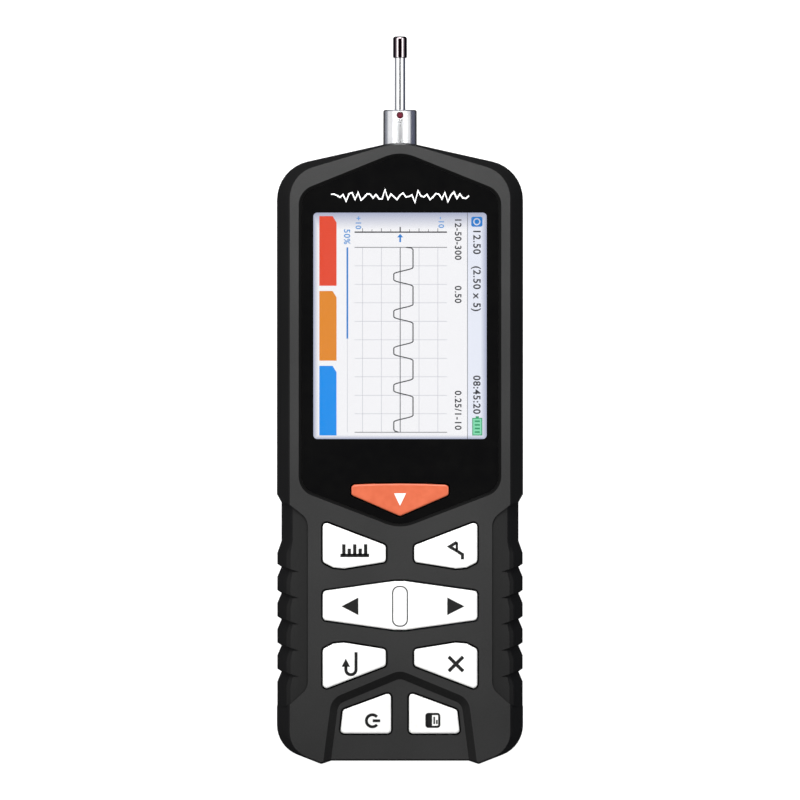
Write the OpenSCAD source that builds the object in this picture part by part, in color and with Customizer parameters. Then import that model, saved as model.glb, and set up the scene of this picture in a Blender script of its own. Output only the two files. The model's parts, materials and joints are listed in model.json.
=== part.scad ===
// Pocket surface roughness tester, lying on its back.
// X runs across the body, Y towards the stylus, Z out of the display. The back is z = 0.

/* [Housing] */
// Width of the body
body_w = 61.6; // [58:0.2:68]
// Length of the body from its feet to the peak of its gable
body_len = 155.5; // [150:0.5:165]
// Thickness of the body
body_h = 30; // [29:0.5:34]
// Height of the joint between the shells and of the pickup's axis
joint_z = 13; // [12.5:0.25:15]
// Wall of both shells
wall = 2.2; // [1.8:0.1:2.6]
// Slope of the gable in degrees
gable_deg = 12.6; // [10:0.2:14]
// Slope of the gable on the flat front face in degrees
face_gable_deg = 16.2; // [15:0.1:18]
// How far each side leans in towards the front face
side_lean = 3; // [2.4:0.1:3.6]
// How far each side leans in towards the back
back_lean = 3.6; // [2.6:0.1:4.4]
// How far the two ends lean in towards the front face
end_lean = 0.6; // [0.3:0.1:1]
// Radius of the gable's peak
peak_r = 20; // [10:1:30]
// Radius of the upper shoulders
shoulder_r = 9.8; // [8:0.1:12]
// Radius of the lower corners
corner_r = 8; // [6.5:0.1:10]
// Distance between the two feet at the lower end
foot_span = 39.4; // [38:0.2:41]
// Slope of the lower edges that run down to the feet in degrees
foot_deg = 21.4; // [18:0.2:24]
// Height of the hollow between the feet
foot_h = 0.85; // [0.5:0.05:1.2]

/* [Window and display] */
// Width of the flat frame beside the window
frame_w = 3.2; // [2.7:0.1:3.7]
// Height of the frame above the window's peak
frame_top = 2.85; // [2.4:0.05:3.4]
// Depth of the window below the frame
window_drop = 0.5; // [0.3:0.05:0.8]
// Thickness of the window panel
window_t = 1.2; // [1:0.1:1.6]
// Thickness of the ledge that carries the window
ledge_t = 1; // [0.8:0.1:1.4]
// Bevel of the frame around the window
window_bevel = 0.7; // [0.4:0.05:1]
// Slope of the window's upper edges in degrees
window_gable_deg = 21.9; // [19:0.1:24]
// Slope of the window's lower edges and of the keys beside them in degrees
window_tip_deg = 20.9; // [19:0.1:22]
// Radius of the window's peaks
window_peak_r = 9; // [6:0.5:12]
// Radius of the window's other corners
window_r = 4.4; // [3:0.1:5.5]
// Strip of window beside the visible picture
picture_side = 2.95; // [2.6:0.05:3.6]
// Strip of window between its shoulders and the picture
picture_top = 4.5; // [4:0.1:6]
// Strip of window between the picture and the start key
picture_foot = 10.5; // [8:0.1:13]
// Border of the display module around the picture
module_border = 1.6; // [1.2:0.1:2]
// Extra border at the display's lower end
module_foot = 3; // [2:0.1:4]

/* [Keys] */
// Distance from the feet to the middle of the rocker
rocker_y = 39.8; // [38.5:0.1:41]
// Half height of the rocker at its middle
rocker_mid_h = 6.3; // [5.6:0.1:6.8]
// Half height of the rocker at its ends
rocker_end_h = 3.8; // [3.2:0.1:4.4]
// Half width of the flat at the rocker's middle
rocker_flat = 1.6; // [1:0.1:2.2]
// Space between the rocker's ends and the grips
key_margin = 3.5; // [3:0.1:4.2]
// Gap between the left and the right keys
key_split = 6.6; // [6.2:0.1:7.4]
// Gap between the rocker and the keys above and below it
key_row_gap = 4.4; // [4:0.1:5]
// Height of the upper and lower keys at their inner edge
key_inner_h = 4.5; // [4:0.1:5.2]
// How far the upper and lower keys bulge towards the rocker
key_bulge = 1.7; // [1.2:0.1:2]
// Distance of that bulge from the keys' outer edge
key_bulge_in = 5.6; // [4.5:0.1:6.5]
// Gap between the upper keys and the window, along the length
tip_gap = 5.85; // [5.4:0.05:6.4]
// Width of the start key
start_w = 24.8; // [22:0.2:27]
// Length of the start key's straight sides
start_side = 3.3; // [2.8:0.1:4]
// Length of the start key's point
start_point = 5.4; // [4.6:0.1:6]
// Rise of the start key's arched upper edge
start_arch = 0.35; // [0.2:0.05:0.5]
// Gap between the start key's point and the window's lower tip
start_gap = 2.25; // [1.8:0.05:3]
// Distance from the feet to the two lowest keys
low_key_y = 7.6; // [7:0.1:8.2]
// Gap between the two lowest keys
low_key_split = 4; // [3.4:0.1:4.6]
// Width of each of the lowest keys
low_key_w = 13.2; // [12.4:0.1:13.6]
// Height of the lowest keys at their outer edge
low_key_h = 6.3; // [5.6:0.1:6.8]
// Height of the lowest keys at their inner edge
low_key_inner_h = 10.9; // [10:0.1:11.4]
// Corner radius of the keys
key_r = 1.2; // [0.9:0.05:1.6]
// Edge radius of the keys' tops
key_edge = 0.5; // [0.3:0.05:0.7]
// Height of the keys above the surface around them
key_proud = 0.4; // [0.2:0.05:0.8]
// Gap around each key
key_gap = 0.4; // [0.3:0.02:0.5]
// Travel of the keys
key_travel = 0.7; // [0.5:0.05:0.9]
// Width of the flange that holds each key in
flange_w = 0.8; // [0.6:0.05:1]
// Thickness of that flange
flange_t = 0.8; // [0.6:0.05:1]
// Thickness of the key mat
mat_t = 0.8; // [0.7:0.05:1]
// Width of the recess around the lowest keys, at its shoulders
recess_w = 30.8; // [30.4:0.1:31.6]
// Height of that recess above the lowest keys' inner corners
recess_top = 3.1; // [2.6:0.1:3.4]
// Depth of that recess
recess_h = 1.2; // [0.9:0.05:1.4]
// Width of the sloped wall around the recess
recess_slope = 1.9; // [1.5:0.1:2.2]

/* [Grips] */
// Distance from the feet to the grips' upper end
grip_top = 65.4; // [63:0.1:67]
// Distance from the feet to the grips' lower end
grip_foot = 14.5; // [13.5:0.1:16]
// Width of the grips on the front face
grip_face_w = 4.8; // [4.4:0.1:5.4]
// Thickness of the grips at the sides
grip_t = 2.6; // [2.3:0.1:3]
// Thickness of the grips' seat in the front face
grip_face_t = 1.4; // [1.2:0.05:1.6]
// Depth of the grips below the front face
grip_drop = 0.5; // [0.3:0.05:0.7]
// Height of the ribs
rib_h = 1.05; // [0.7:0.05:1.2]
// Distance from one rib to the next
rib_pitch = 6.55; // [6:0.05:7]
// Number of notches between ribs
rib_count = 5; // [4:1:6]
// Length of the ramp up to each rib
rib_ramp = 2.5; // [1.8:0.1:3]
// Length of the steep side of each notch
notch_len = 0.7; // [0.5:0.05:1]
// Corner radius of the grips' seam on the front face
seam_r = 4; // [2:0.1:4]
// Length of the smooth thumb rest above the ribs
thumb_len = 9.5; // [8.5:0.1:11]

/* [Pickup] */
// Diameter of the pickup holder
holder_d = 8.4; // [7.6:0.1:9]
// Length of the holder outside the housing
holder_out = 8.3; // [7.5:0.1:11.5]
// Diameter of the stylus tube
tube_d = 2.7; // [2.5:0.05:3]
// Length of the stylus tube outside the holder
tube_out = 13.05; // [11:0.05:16]
// Diameter of the nosepiece
nose_d = 3.5; // [3.25:0.05:3.7]
// Length of the nosepiece
nose_len = 5.4; // [5:0.1:7]
// Diameter of the alignment dot
dot_d = 1.7; // [1.3:0.1:2]
// Travel of the pickup
travel = 12.5; // [10:0.5:14]
// Diameter of the stylus arm
arm_d = 0.9; // [0.8:0.05:1]
// Reach of the stylus tip below the nosepiece
tip_reach = 0.25; // [0.15:0.05:0.4]

/* [Drive] */
// Depth of the drive's front plate below the gable's peak
drive_depth = 16; // [15.5:0.1:17.5]
// Length of the carriage
carriage_len = 12; // [11:0.5:13]
// Diameter of the guide rods
rod_d = 3; // [2.5:0.1:3.4]
// Diameter of the lead screw
screw_d = 4; // [3.5:0.1:4.5]
// Thickness of the drive frame's end plates
plate_t = 2.5; // [2:0.1:3]
// Length of the gearbox
gearbox_len = 9; // [8:0.5:10]
// Length of the motor
motor_len = 15; // [13:0.5:17]
// Diameter of the motor
motor_d = 12; // [11:0.5:13]
// Height of the motor across its flats, and of the gearbox
motor_h = 10; // [9:0.5:10.5]
// Width of the battery pack
battery_w = 32; // [29:0.5:32.5]
// Length of the battery pack
battery_len = 50; // [44:0.5:52]
// Thickness of the battery pack
battery_t = 10; // [8:0.5:11]

/* [Fits] */
// Running clearance of rods, screw and holder, on the radius
run_gap = 0.05; // [0.02:0.01:0.08]
// Clearance of pieces that sit still in a seat
seat_gap = 0.1; // [0.05:0.01:0.15]
// Clearance of pieces that pass each other freely
free_gap = 0.4; // [0.3:0.05:0.5]
// Radius of the case screws' shanks
case_screw_r = 1.45; // [1.3:0.05:1.55]
// Radius of the small screws' shanks
small_screw_r = 0.8; // [0.7:0.05:0.9]

/* [Hidden] */
$fn = 48;
// Steps in each rounded corner of an outline
arc_steps = 8;
cut = 0.5;

// Overall length and the ends of the body
total_len = body_len + holder_out + tube_out + nose_len;
y_foot = -total_len / 2;
y_top = y_foot + body_len;
y_tip = total_len / 2;
half_w = body_w / 2;
face_half_w = half_w - side_lean;
axis_z = joint_z;

// Heights from the front face down to the board
face_z = body_h;
window_z = face_z - window_drop - window_t;
roof_z = window_z - ledge_t;
recess_z = face_z - recess_h;
flange_z = roof_z - seat_gap - flange_t;
pad_h = key_travel + 0.25;
mat_top = flange_z - pad_h;
board_top = mat_top - mat_t;
board_t = 1.6;
board_z = board_top - board_t;
floor_z = wall;

// Inside of the shells
side_wall = grip_t + wall + 0.4;
room_half_w = half_w - side_wall;

// Window outline
window_half_w = face_half_w - frame_w;
window_top = y_top - frame_top;
window_shoulder = window_top - window_half_w * tan(window_gable_deg);
keypad_half_w = face_half_w - grip_face_w - key_margin;
key_in = key_split / 2;
rocker_cy = y_foot + rocker_y;

// Edges of the four keys around the rocker, above its middle
rise = (keypad_half_w - key_in) * tan(window_tip_deg);
near_y = rocker_mid_h + key_row_gap;
far_in_y = near_y + key_inner_h;
far_out_y = far_in_y + rise;

window_tip = rocker_cy + far_in_y + tip_gap - key_in * tan(window_tip_deg);
window_low = window_tip + window_half_w * tan(window_tip_deg);
start_tip = window_tip + start_gap;
start_shoulder = start_tip + start_point;
start_top = start_shoulder + start_side;
low_key_base = y_foot + low_key_y;

// Picture and display module
picture_half_w = window_half_w - picture_side;
picture_y1 = window_shoulder - picture_top;
picture_y0 = start_top + picture_foot;

// Rocker pivot
pivot_r = 0.7;
pivot_z = flange_z + 0.05;
lug_t = 2.2;
lug_half_w = 2;
lug_y = rocker_mid_h + key_gap / 2 + 0.15;
lug_z = pivot_z - pivot_r - 0.7;

// Screw places and heads
case_boss_r = 3;
case_head_r = 2.75;
case_head_h = 2;
case_seat_z = 4;
case_thread = 8;
case_post_x = room_half_w - case_boss_r - 1.6;
case_posts = [[case_post_x - 3.5, y_top - 10], [case_post_x, y_foot + 10]];
board_boss_r = 1.8;
board_head_r = 1.7;
board_head_h = 1.2;
board_thread = 2;
board_post_x = room_half_w - board_boss_r - 0.3;
board_posts = [[board_post_x, start_top + 1.9], [board_post_x, rocker_cy - 12]];
drive_boss_r = 2.4;
drive_head_r = 1.6;
drive_head_h = 0.35;
drive_thread = 2.5;

// Drive places along the body
front_plate_y = y_top - drive_depth;
carriage_y1 = front_plate_y - plate_t - 0.6;
carriage_y0 = carriage_y1 - carriage_len;
rear_plate_y = carriage_y0 - travel - 0.6;
gearbox_y = rear_plate_y - plate_t;
motor_y = gearbox_y - gearbox_len;
holder_r = holder_d / 2;
rod_r = rod_d / 2;
screw_r = screw_d / 2;
rod_x = holder_r + 2.3 + rod_r;
screw_x = rod_x + rod_r + 2.5 + screw_r;
nut_r = screw_r + 1.2;
bearing_r = screw_r + 1;
drive_x0 = -rod_x - rod_r - 2;
drive_x1 = screw_x + nut_r + 1.3;
drive_base_z = axis_z - 7.5;
drive_base_t = 1.5;
carriage_h = 5.2;
drive_screw_x = [drive_x0 + 2.6, drive_x1 - 2.6];
drive_screw_y = [rear_plate_y + 3, carriage_y1 - 4];

// Nose bush in the gable
bush_r = holder_r + 1.8;
bush_len = 6;
nose_skin = 2.6;
bush_y = y_top - nose_skin - bush_len;

// Pickup places along its axis
tube_r = tube_d / 2;
nose_r = nose_d / 2;
arm_r = arm_d / 2;
holder_y1 = y_top + holder_out;
tube_y1 = holder_y1 + tube_out;
tube_seat = 5;
tube_wall = 0.35;
pickup_room_r = tube_r - tube_wall;
arm_pivot_y = y_top - 4;
arm_pin_r = 0.35;
tip_y = y_tip - 1.7;
spigot_r = 2.5;
spigot_len = 7;

// Charging socket at the lower end
socket_w = 9;
socket_h = 3.3;
socket_len = 7.5;
socket_y = y_foot + foot_h + 0.6;
socket_z = board_z - socket_h / 2;

// Shared shapes

function unit(v) = v / norm(v);

function turned(v, a) = [v.x * cos(a) - v.y * sin(a), v.x * sin(a) + v.y * cos(a)];

// Closed outline through corners [x, y, radius], each rounded by an arc
function rounded_outline(corners) = [
    for (i = [0 : len(corners) - 1])
        let (last = len(corners) - 1,
             before = corners[i == 0 ? last : i - 1],
             here = corners[i],
             after = corners[i == last ? 0 : i + 1],
             p = [here.x, here.y],
             a = unit([before.x, before.y] - p),
             b = unit([after.x, after.y] - p),
             half = acos(a * b) / 2,
             centre = p + unit(a + b) * here[2] / sin(half),
             start = p + a * here[2] / tan(half) - centre,
             sweep = (180 - 2 * half) * sign(cross(b, a)))
        for (k = [0 : arc_steps]) centre + turned(start, sweep * k / arc_steps)
];

// Outline of the body, moved in by side_in, top_in and foot_in
function body_outline(side_in, top_in, foot_in, slope) =
    let (w = half_w - side_in,
         peak = y_top - top_in + peak_r * (1 / cos(slope) - 1),
         shoulder = peak - w * tan(slope),
         foot = y_foot + foot_in,
         foot_x = foot_span / 2,
         hollow_x = foot_x - 2.5,
         corner = foot + (w - foot_x) * tan(foot_deg),
         foot_edge = (w - foot_x) / cos(foot_deg),
         r1 = shoulder_r - side_in / 2,
         r2 = min(corner_r - side_in / 2, 0.9 * foot_edge * tan(45 + foot_deg / 2)))
    rounded_outline([
        [0, peak, peak_r],
        [-w, shoulder, r1],
        [-w, corner, r2],
        [-foot_x, foot, 0.8],
        [-hollow_x, foot + foot_h, 0.8],
        [hollow_x, foot + foot_h, 0.8],
        [foot_x, foot, 0.8],
        [w, corner, r2],
        [w, shoulder, r1]]);

// One ring of the front shell, from t = 0 at the widest place to t = 1 at the front face
function front_ring(z, t) =
    [for (p = body_outline(side_lean * t, end_lean * t, end_lean * t,
                           gable_deg + (face_gable_deg - gable_deg) * max(t, 0))) [p.x, p.y, z]];

// One ring of the rear shell, from t = 0 at the widest place to t = 1 at the back
function rear_ring(z, t) =
    [for (p = body_outline(back_lean * t, back_lean * t / 2, back_lean * t / 3, gable_deg))
        [p.x, p.y, z]];

function room_ring(z) =
    [for (p = body_outline(side_wall, wall, wall, face_gable_deg)) [p.x, p.y, z]];

// Solid through rings of equal point count, in order along their path
module skin(rings) {
    n = len(rings[0]);
    last = len(rings) - 1;
    polyhedron(
        points = [for (ring = rings) each ring],
        faces = concat(
            [[for (i = [0 : n - 1]) i]],
            [for (k = [0 : last - 1], i = [0 : n - 1]) [k * n + i, k * n + n + i, k * n + n + (i + 1) % n]],
            [for (k = [0 : last - 1], i = [0 : n - 1])
                [k * n + i, k * n + n + (i + 1) % n, k * n + (i + 1) % n]],
            [[for (i = [n - 1 : -1 : 0]) last * n + i]]));
}

module both_sides() {
    children();
    mirror([1, 0, 0]) children();
}

module round_corners(r) {
    offset(r = r, $fn = 32) offset(delta = -r) children();
}

// Cylinder along +Y that starts at y
module rod_y(y, r, len, x = 0, z = axis_z) {
    translate([x, y, z]) rotate([-90, 0, 0]) cylinder(r = r, h = len);
}

// Screw with a cross recess: its head lies below z = 0 and its shank points up
module screw(head_r, head_h, shank_r, len) {
    difference() {
        union() {
            translate([0, 0, -head_h]) cylinder(r1 = head_r * 0.85, r2 = head_r, h = head_h * 0.4);
            translate([0, 0, -head_h * 0.6]) cylinder(r = head_r, h = head_h * 0.6);
            cylinder(r = shank_r, h = len);
        }
        for (turn = [0, 90])
            rotate(turn) translate([-head_r * 0.6, -head_r * 0.12, -head_h - cut])
                cube([head_r * 1.2, head_r * 0.24, head_h * 0.5 + cut]);
    }
}

// Key outlines

module start_shape() {
    low = start_top - start_arch;
    crown = start_top - start_arch / 4;
    round_corners(key_r) polygon([
        [0, start_top], [-start_w / 4, crown], [-start_w / 2, low], [-start_w / 2, start_shoulder],
        [0, start_tip], [start_w / 2, start_shoulder], [start_w / 2, low], [start_w / 4, crown]]);
}

// Key at the upper right of the rocker
module corner_shape() {
    translate([0, rocker_cy]) round_corners(key_r) polygon([
        [key_in, near_y],
        [keypad_half_w - key_bulge_in, near_y - key_bulge],
        [keypad_half_w - key_bulge_in / 2, near_y - key_bulge * 0.85],
        [keypad_half_w, near_y],
        [keypad_half_w, far_out_y],
        [key_in, far_in_y]]);
}

module below_rocker() {
    translate([0, 2 * rocker_cy]) mirror([0, 1]) children();
}

module rocker_shape() {
    translate([0, rocker_cy]) round_corners(key_r) polygon([
        for (side = [1, -1]) each [
            [side * rocker_flat, side * rocker_mid_h], [-side * rocker_flat, side * rocker_mid_h],
            [-side * keypad_half_w, side * rocker_end_h], [-side * keypad_half_w, -side * rocker_end_h]]]);
}

// Lower right key
module low_shape() {
    inner = low_key_split / 2;
    outer = inner + low_key_w;
    round_corners(key_r) polygon([
        [inner, low_key_base], [outer, low_key_base],
        [outer - 0.7, low_key_base + low_key_h], [inner, low_key_base + low_key_inner_h]]);
}

// All key outlines that pass through the face
module key_shapes() {
    start_shape();
    rocker_shape();
    both_sides() {
        corner_shape();
        below_rocker() corner_shape();
        low_shape();
    }
}

// Cap with a rounded upper edge, half the gap inside its outline
module cap_block(top_z) {
    translate([0, 0, flange_z]) hull()
        for (a = [0, 30, 60, 90])
            linear_extrude(top_z - flange_z - key_edge * (1 - sin(a)))
                offset(delta = -key_gap / 2 - key_edge * (1 - cos(a))) children();
}

// Cap with the flange that holds it under the face
module key_cap(top_z) {
    translate([0, 0, flange_z]) linear_extrude(flange_t) offset(delta = flange_w) children();
    cap_block(top_z) children();
}

// Window and recess outlines

module window_shape() {
    polygon(rounded_outline([
        [0, window_top, window_peak_r],
        [-window_half_w, window_shoulder, window_r],
        [-window_half_w, window_low, window_r],
        [0, window_tip, window_peak_r],
        [window_half_w, window_low, window_r],
        [window_half_w, window_shoulder, window_r]]));
}

// Floor of the recess around the lowest keys, open at the lower end
module recess_shape() {
    shoulder = low_key_base + low_key_h + 1.3;
    peak = low_key_base + low_key_inner_h + recess_top;
    below = shoulder - y_foot + 3;
    splay = below * 0.13;
    round_corners(2.5) polygon([
        [0, peak], [-recess_w / 2, shoulder], [-recess_w / 2 - splay, y_foot - 3],
        [recess_w / 2 + splay, y_foot - 3], [recess_w / 2, shoulder]]);
}

// Grips

// Outline of the right grip's seat, seen from the front
module grip_seat_shape() {
    top = y_foot + grip_top;
    foot = y_foot + grip_foot;
    inner = keypad_half_w + key_margin;
    turn = face_half_w + 0.3;
    ear = top + 2.2;
    past_side = 20;
    round_corners(seam_r) polygon([
        [half_w + past_side, foot], [turn, foot], [inner, foot + 4.6], [inner, top - 4],
        [turn, top], [half_w - 1.25, top], [half_w, ear], [half_w + past_side, ear + past_side]]);
}

// Space that the right grip takes from the shells
module grip_seat() {
    above = face_z + 5;
    seat_z = face_z - grip_face_t;
    side = half_w - grip_t;
    outside = half_w + 6;
    intersection() {
        translate([0, 0, -cut]) linear_extrude(above + cut) grip_seat_shape();
        translate([0, y_top, 0]) rotate([90, 0, 0]) linear_extrude(body_len) polygon([
            [0, seat_z], [face_half_w - 1.5, seat_z], [side, joint_z + 7], [side, -cut],
            [outside, -cut], [outside, above], [0, above]]);
    }
}

// Section of a grip at height share of the ribs, from the front inwards round to the back: each point
// is [x, z, how far the rib stands out there, how far it stands up], the last two as shares of its height
function grip_section(share) =
    let (side = half_w - rib_h - 0.1,
         top = face_z - grip_drop)
    [for (p = [[face_half_w - grip_face_w - 4, top, 0, 0],
               [face_half_w - 2.6, top, 0, 0],
               [face_half_w - 1, top - 0.55, 0.5, 0.45],
               [face_half_w - 0.4, top - 1.5, 0.9, 0.6],
               [side, joint_z + 6, 1, 0],
               [side, joint_z - 5, 1, 0],
               [side - 0.5, joint_z - 8.5, 0.8, 0],
               [half_w - back_lean, 0.6, 0.3, 0],
               [face_half_w - grip_face_w - 4, 0.6, 0, 0]])
        [p[0], p[1]] + rib_h * share * [p[2], p[3]]];

// How far each point of that section trails down the body where a rib starts
grip_trail = [0, 1.2, 1.2, 0.8, 0, 0, 0, 0, 0];

// Ring of the grip's section at y
function grip_ring(y, share, trail) =
    let (section = grip_section(share))
    [for (i = [0 : len(section) - 1]) [section[i].x, y - trail * grip_trail[i], section[i].y]];

// Rings of the grip, from its lower end up through the ribs to the thumb rest
function grip_rings() =
    let (top = y_foot + grip_top,
         foot = y_foot + grip_foot,
         first = top - thumb_len - 6.5)
    concat(
        [grip_ring(foot - 3, 1, 0)],
        [for (i = [rib_count - 1 : -1 : 0]) each [
            grip_ring(first - i * rib_pitch - rib_ramp, 1, 1),
            grip_ring(first - i * rib_pitch, 0, 1),
            grip_ring(first - i * rib_pitch + notch_len, 1, 1)]],
        [grip_ring(top - thumb_len - 3, 1, 0),
         grip_ring(top - thumb_len, 0, 0),
         grip_ring(top + 3, 0, 0)]);

module grip() {
    intersection() {
        skin(grip_rings());
        grip_seat();
    }
}

module right_grip() {
    color("#262626") grip();
}

module left_grip() {
    color("#262626") mirror([1, 0, 0]) grip();
}

// Shells

// Seat and passage of the nose bush, shared by both shells
module nose_bore() {
    rod_y(bush_y, bush_r + seat_gap / 2, bush_len);
    rod_y(bush_y - 10, holder_r + free_gap, bush_len + nose_skin + 20);
}

// Block behind the gable that holds the nose bush, from z0 to z1
module nose_block(z0, z1) {
    translate([-bush_r - 2.5, bush_y - 1.5, z0])
        cube([2 * bush_r + 5, bush_len + 2.5, z1 - z0]);
}

module front_shell() {
    color("#434343") difference() {
        union() {
            difference() {
                skin([front_ring(joint_z, 0.08), front_ring(joint_z + 0.4, 0), front_ring(joint_z + 6, 0),
                      front_ring(face_z - 1, 0.92), front_ring(face_z - 0.3, 1), front_ring(face_z, 1.1)]);
                skin([room_ring(joint_z - 1), room_ring(roof_z)]);
            }
            both_sides() {
                for (p = case_posts)
                    translate([p.x, p.y, joint_z]) cylinder(r = case_boss_r, h = roof_z - joint_z + cut);
                for (p = board_posts)
                    translate([p.x, p.y, board_top]) cylinder(r = board_boss_r, h = roof_z - board_top + cut);
            }
            nose_block(joint_z, axis_z + bush_r + 2.5);
            rocker_lugs();
        }
        translate([0, 0, window_z]) linear_extrude(face_z) window_shape();
        window_bevel_cut();
        translate([-picture_half_w - 0.8, picture_y0 - 0.8, roof_z - cut])
            cube([2 * picture_half_w + 1.6, picture_y1 - picture_y0 + 1.6, ledge_t + 2 * cut]);
        translate([0, 0, roof_z - cut / 2]) linear_extrude(face_z) offset(r = key_gap / 2, $fn = 32) key_shapes();
        recess_cut();
        both_sides() {
            grip_seat();
            for (p = case_posts)
                translate([p.x, p.y, joint_z - cut])
                    cylinder(r = case_screw_r + run_gap, h = case_thread + 1 + cut);
            for (p = board_posts)
                translate([p.x, p.y, board_top - cut])
                    cylinder(r = small_screw_r + run_gap, h = board_thread + 0.4 + cut);
        }
        nose_bore();
        rocker_bores();
        translate([0, y_foot, socket_z]) rotate([-90, 0, 0]) linear_extrude(wall + foot_h + 2)
            socket_outline(free_gap);
    }
}

// Bevel of the frame around the window
module window_bevel_cut() {
    hull() {
        translate([0, 0, face_z - window_drop]) linear_extrude(window_drop) window_shape();
        translate([0, 0, face_z]) linear_extrude(cut) offset(delta = window_bevel) window_shape();
    }
}

// Recess around the lowest keys, with sloped walls
module recess_cut() {
    hull() {
        translate([0, 0, recess_z]) linear_extrude(recess_h) recess_shape();
        translate([0, 0, face_z]) linear_extrude(cut) offset(delta = recess_slope) recess_shape();
    }
}

// Lugs under the face that carry the rocker's trunnions
module rocker_lugs() {
    for (side = [1, -1])
        translate([-lug_half_w, rocker_cy + (side > 0 ? lug_y : -lug_y - lug_t), lug_z])
            cube([2 * lug_half_w, lug_t, roof_z - lug_z + cut]);
}

module rocker_bores() {
    for (side = [1, -1])
        rod_y(rocker_cy + (side > 0 ? lug_y - 0.05 : -lug_y - lug_t - 0.05), pivot_r + run_gap, lug_t + 0.1,
              0, pivot_z);
}

module rear_shell() {
    color("#3a3a3a") difference() {
        union() {
            difference() {
                skin([rear_ring(0, 1), rear_ring(0.5, 0.78), rear_ring(1.6, 0.48), rear_ring(3.6, 0.18),
                      rear_ring(6.5, 0), rear_ring(joint_z - 0.4, 0), rear_ring(joint_z, 0.08)]);
                skin([room_ring(floor_z), room_ring(joint_z + 1)]);
            }
            both_sides() for (p = case_posts)
                translate([p.x, p.y, floor_z - cut])
                    cylinder(r = case_head_r + 1.6, h = joint_z - floor_z + cut);
            for (x = drive_screw_x, y = drive_screw_y)
                translate([x, y, floor_z - cut]) cylinder(r = drive_boss_r, h = drive_base_z - floor_z + cut);
            nose_block(floor_z - cut, joint_z);
            battery_cradle();
        }
        both_sides() {
            grip_seat();
            for (p = case_posts) {
                translate([p.x, p.y, -cut]) cylinder(r = case_head_r + free_gap, h = case_seat_z + cut);
                translate([p.x, p.y, 0]) cylinder(r = case_screw_r + 0.2, h = joint_z + cut);
            }
        }
        for (x = drive_screw_x, y = drive_screw_y)
            translate([x, y, floor_z]) cylinder(r = small_screw_r + run_gap, h = drive_base_z);
        nose_bore();
    }
}

// Low ribs on the rear shell's floor around the battery pack
module battery_cradle() {
    rib = 1.2;
    rib_z = 4;
    translate([0, battery_y(), floor_z - cut]) difference() {
        translate([-battery_w / 2 - seat_gap - rib, -seat_gap - rib, 0])
            cube([battery_w + 2 * (seat_gap + rib), battery_len + 2 * (seat_gap + rib), rib_z + cut]);
        translate([-battery_w / 2 - seat_gap, -seat_gap, -cut])
            cube([battery_w + 2 * seat_gap, battery_len + 2 * seat_gap, rib_z + 3 * cut]);
        translate([-battery_w / 4, -5, -cut]) cube([battery_w / 2, battery_len + 10, rib_z + 3 * cut]);
    }
}

function battery_y() = y_foot + foot_h + wall + 6;

module case_screws() {
    color("#8a8d90") both_sides() for (p = case_posts)
        translate([p.x, p.y, case_seat_z])
            screw(case_head_r, case_head_h, case_screw_r, joint_z - case_seat_z + case_thread);
}

// Window and display

module window_panel() {
    color("#0f1013") translate([0, 0, window_z]) linear_extrude(window_t) difference() {
        offset(delta = -seat_gap) window_shape();
        offset(r = key_gap / 2, $fn = 32) start_shape();
    }
}

module display_module() {
    half = picture_half_w + module_border;
    foot = picture_y0 - module_border - module_foot;
    top = picture_y1 + module_border;
    color("#dfe4f5") difference() {
        translate([-half, foot, board_top]) cube([2 * half, top - foot, roof_z - seat_gap - board_top]);
        translate([-picture_half_w, picture_y0, roof_z - seat_gap - 0.15])
            cube([2 * picture_half_w, picture_y1 - picture_y0, 1]);
    }
}

// Board and keypad

module main_board() {
    top = picture_y1 + module_border;
    color("#1d5a37") difference() {
        translate([0, 0, board_z]) linear_extrude(board_t) intersection() {
            polygon(body_outline(side_wall + free_gap, wall + free_gap, wall + free_gap, face_gable_deg));
            translate([-half_w, y_foot]) square([body_w, top - y_foot]);
        }
        both_sides() {
            for (p = case_posts)
                translate([p.x, p.y, board_z - cut])
                    cylinder(r = case_boss_r + free_gap, h = board_t + 2 * cut);
            for (p = board_posts)
                translate([p.x, p.y, board_z - cut]) cylinder(r = small_screw_r + 0.2, h = board_t + 2 * cut);
        }
    }
}

module board_screws() {
    color("#8a8d90") both_sides() for (p = board_posts)
        translate([p.x, p.y, board_z])
            screw(board_head_r, board_head_h, small_screw_r, board_t + board_thread);
}

// Places of the switches under the keys
low_switch = [low_key_split / 2 + low_key_w / 2 + 0.6, low_key_base + low_key_h / 2 + 0.6];
corner_switch = [(key_in + keypad_half_w) / 2, (near_y + far_in_y + rise / 2) / 2];
rocker_switch = [keypad_half_w - 5.5, 0];
start_switch = [0, start_top - 4.2];
switch_places = concat(
    [start_switch],
    [for (side = [-1, 1]) each [
        [side * low_switch.x, low_switch.y],
        [side * rocker_switch.x, rocker_cy],
        [side * corner_switch.x, rocker_cy + corner_switch.y],
        [side * corner_switch.x, rocker_cy - corner_switch.y]]]);
dome_r = 2.8;
dome_h = 0.35;

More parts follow.
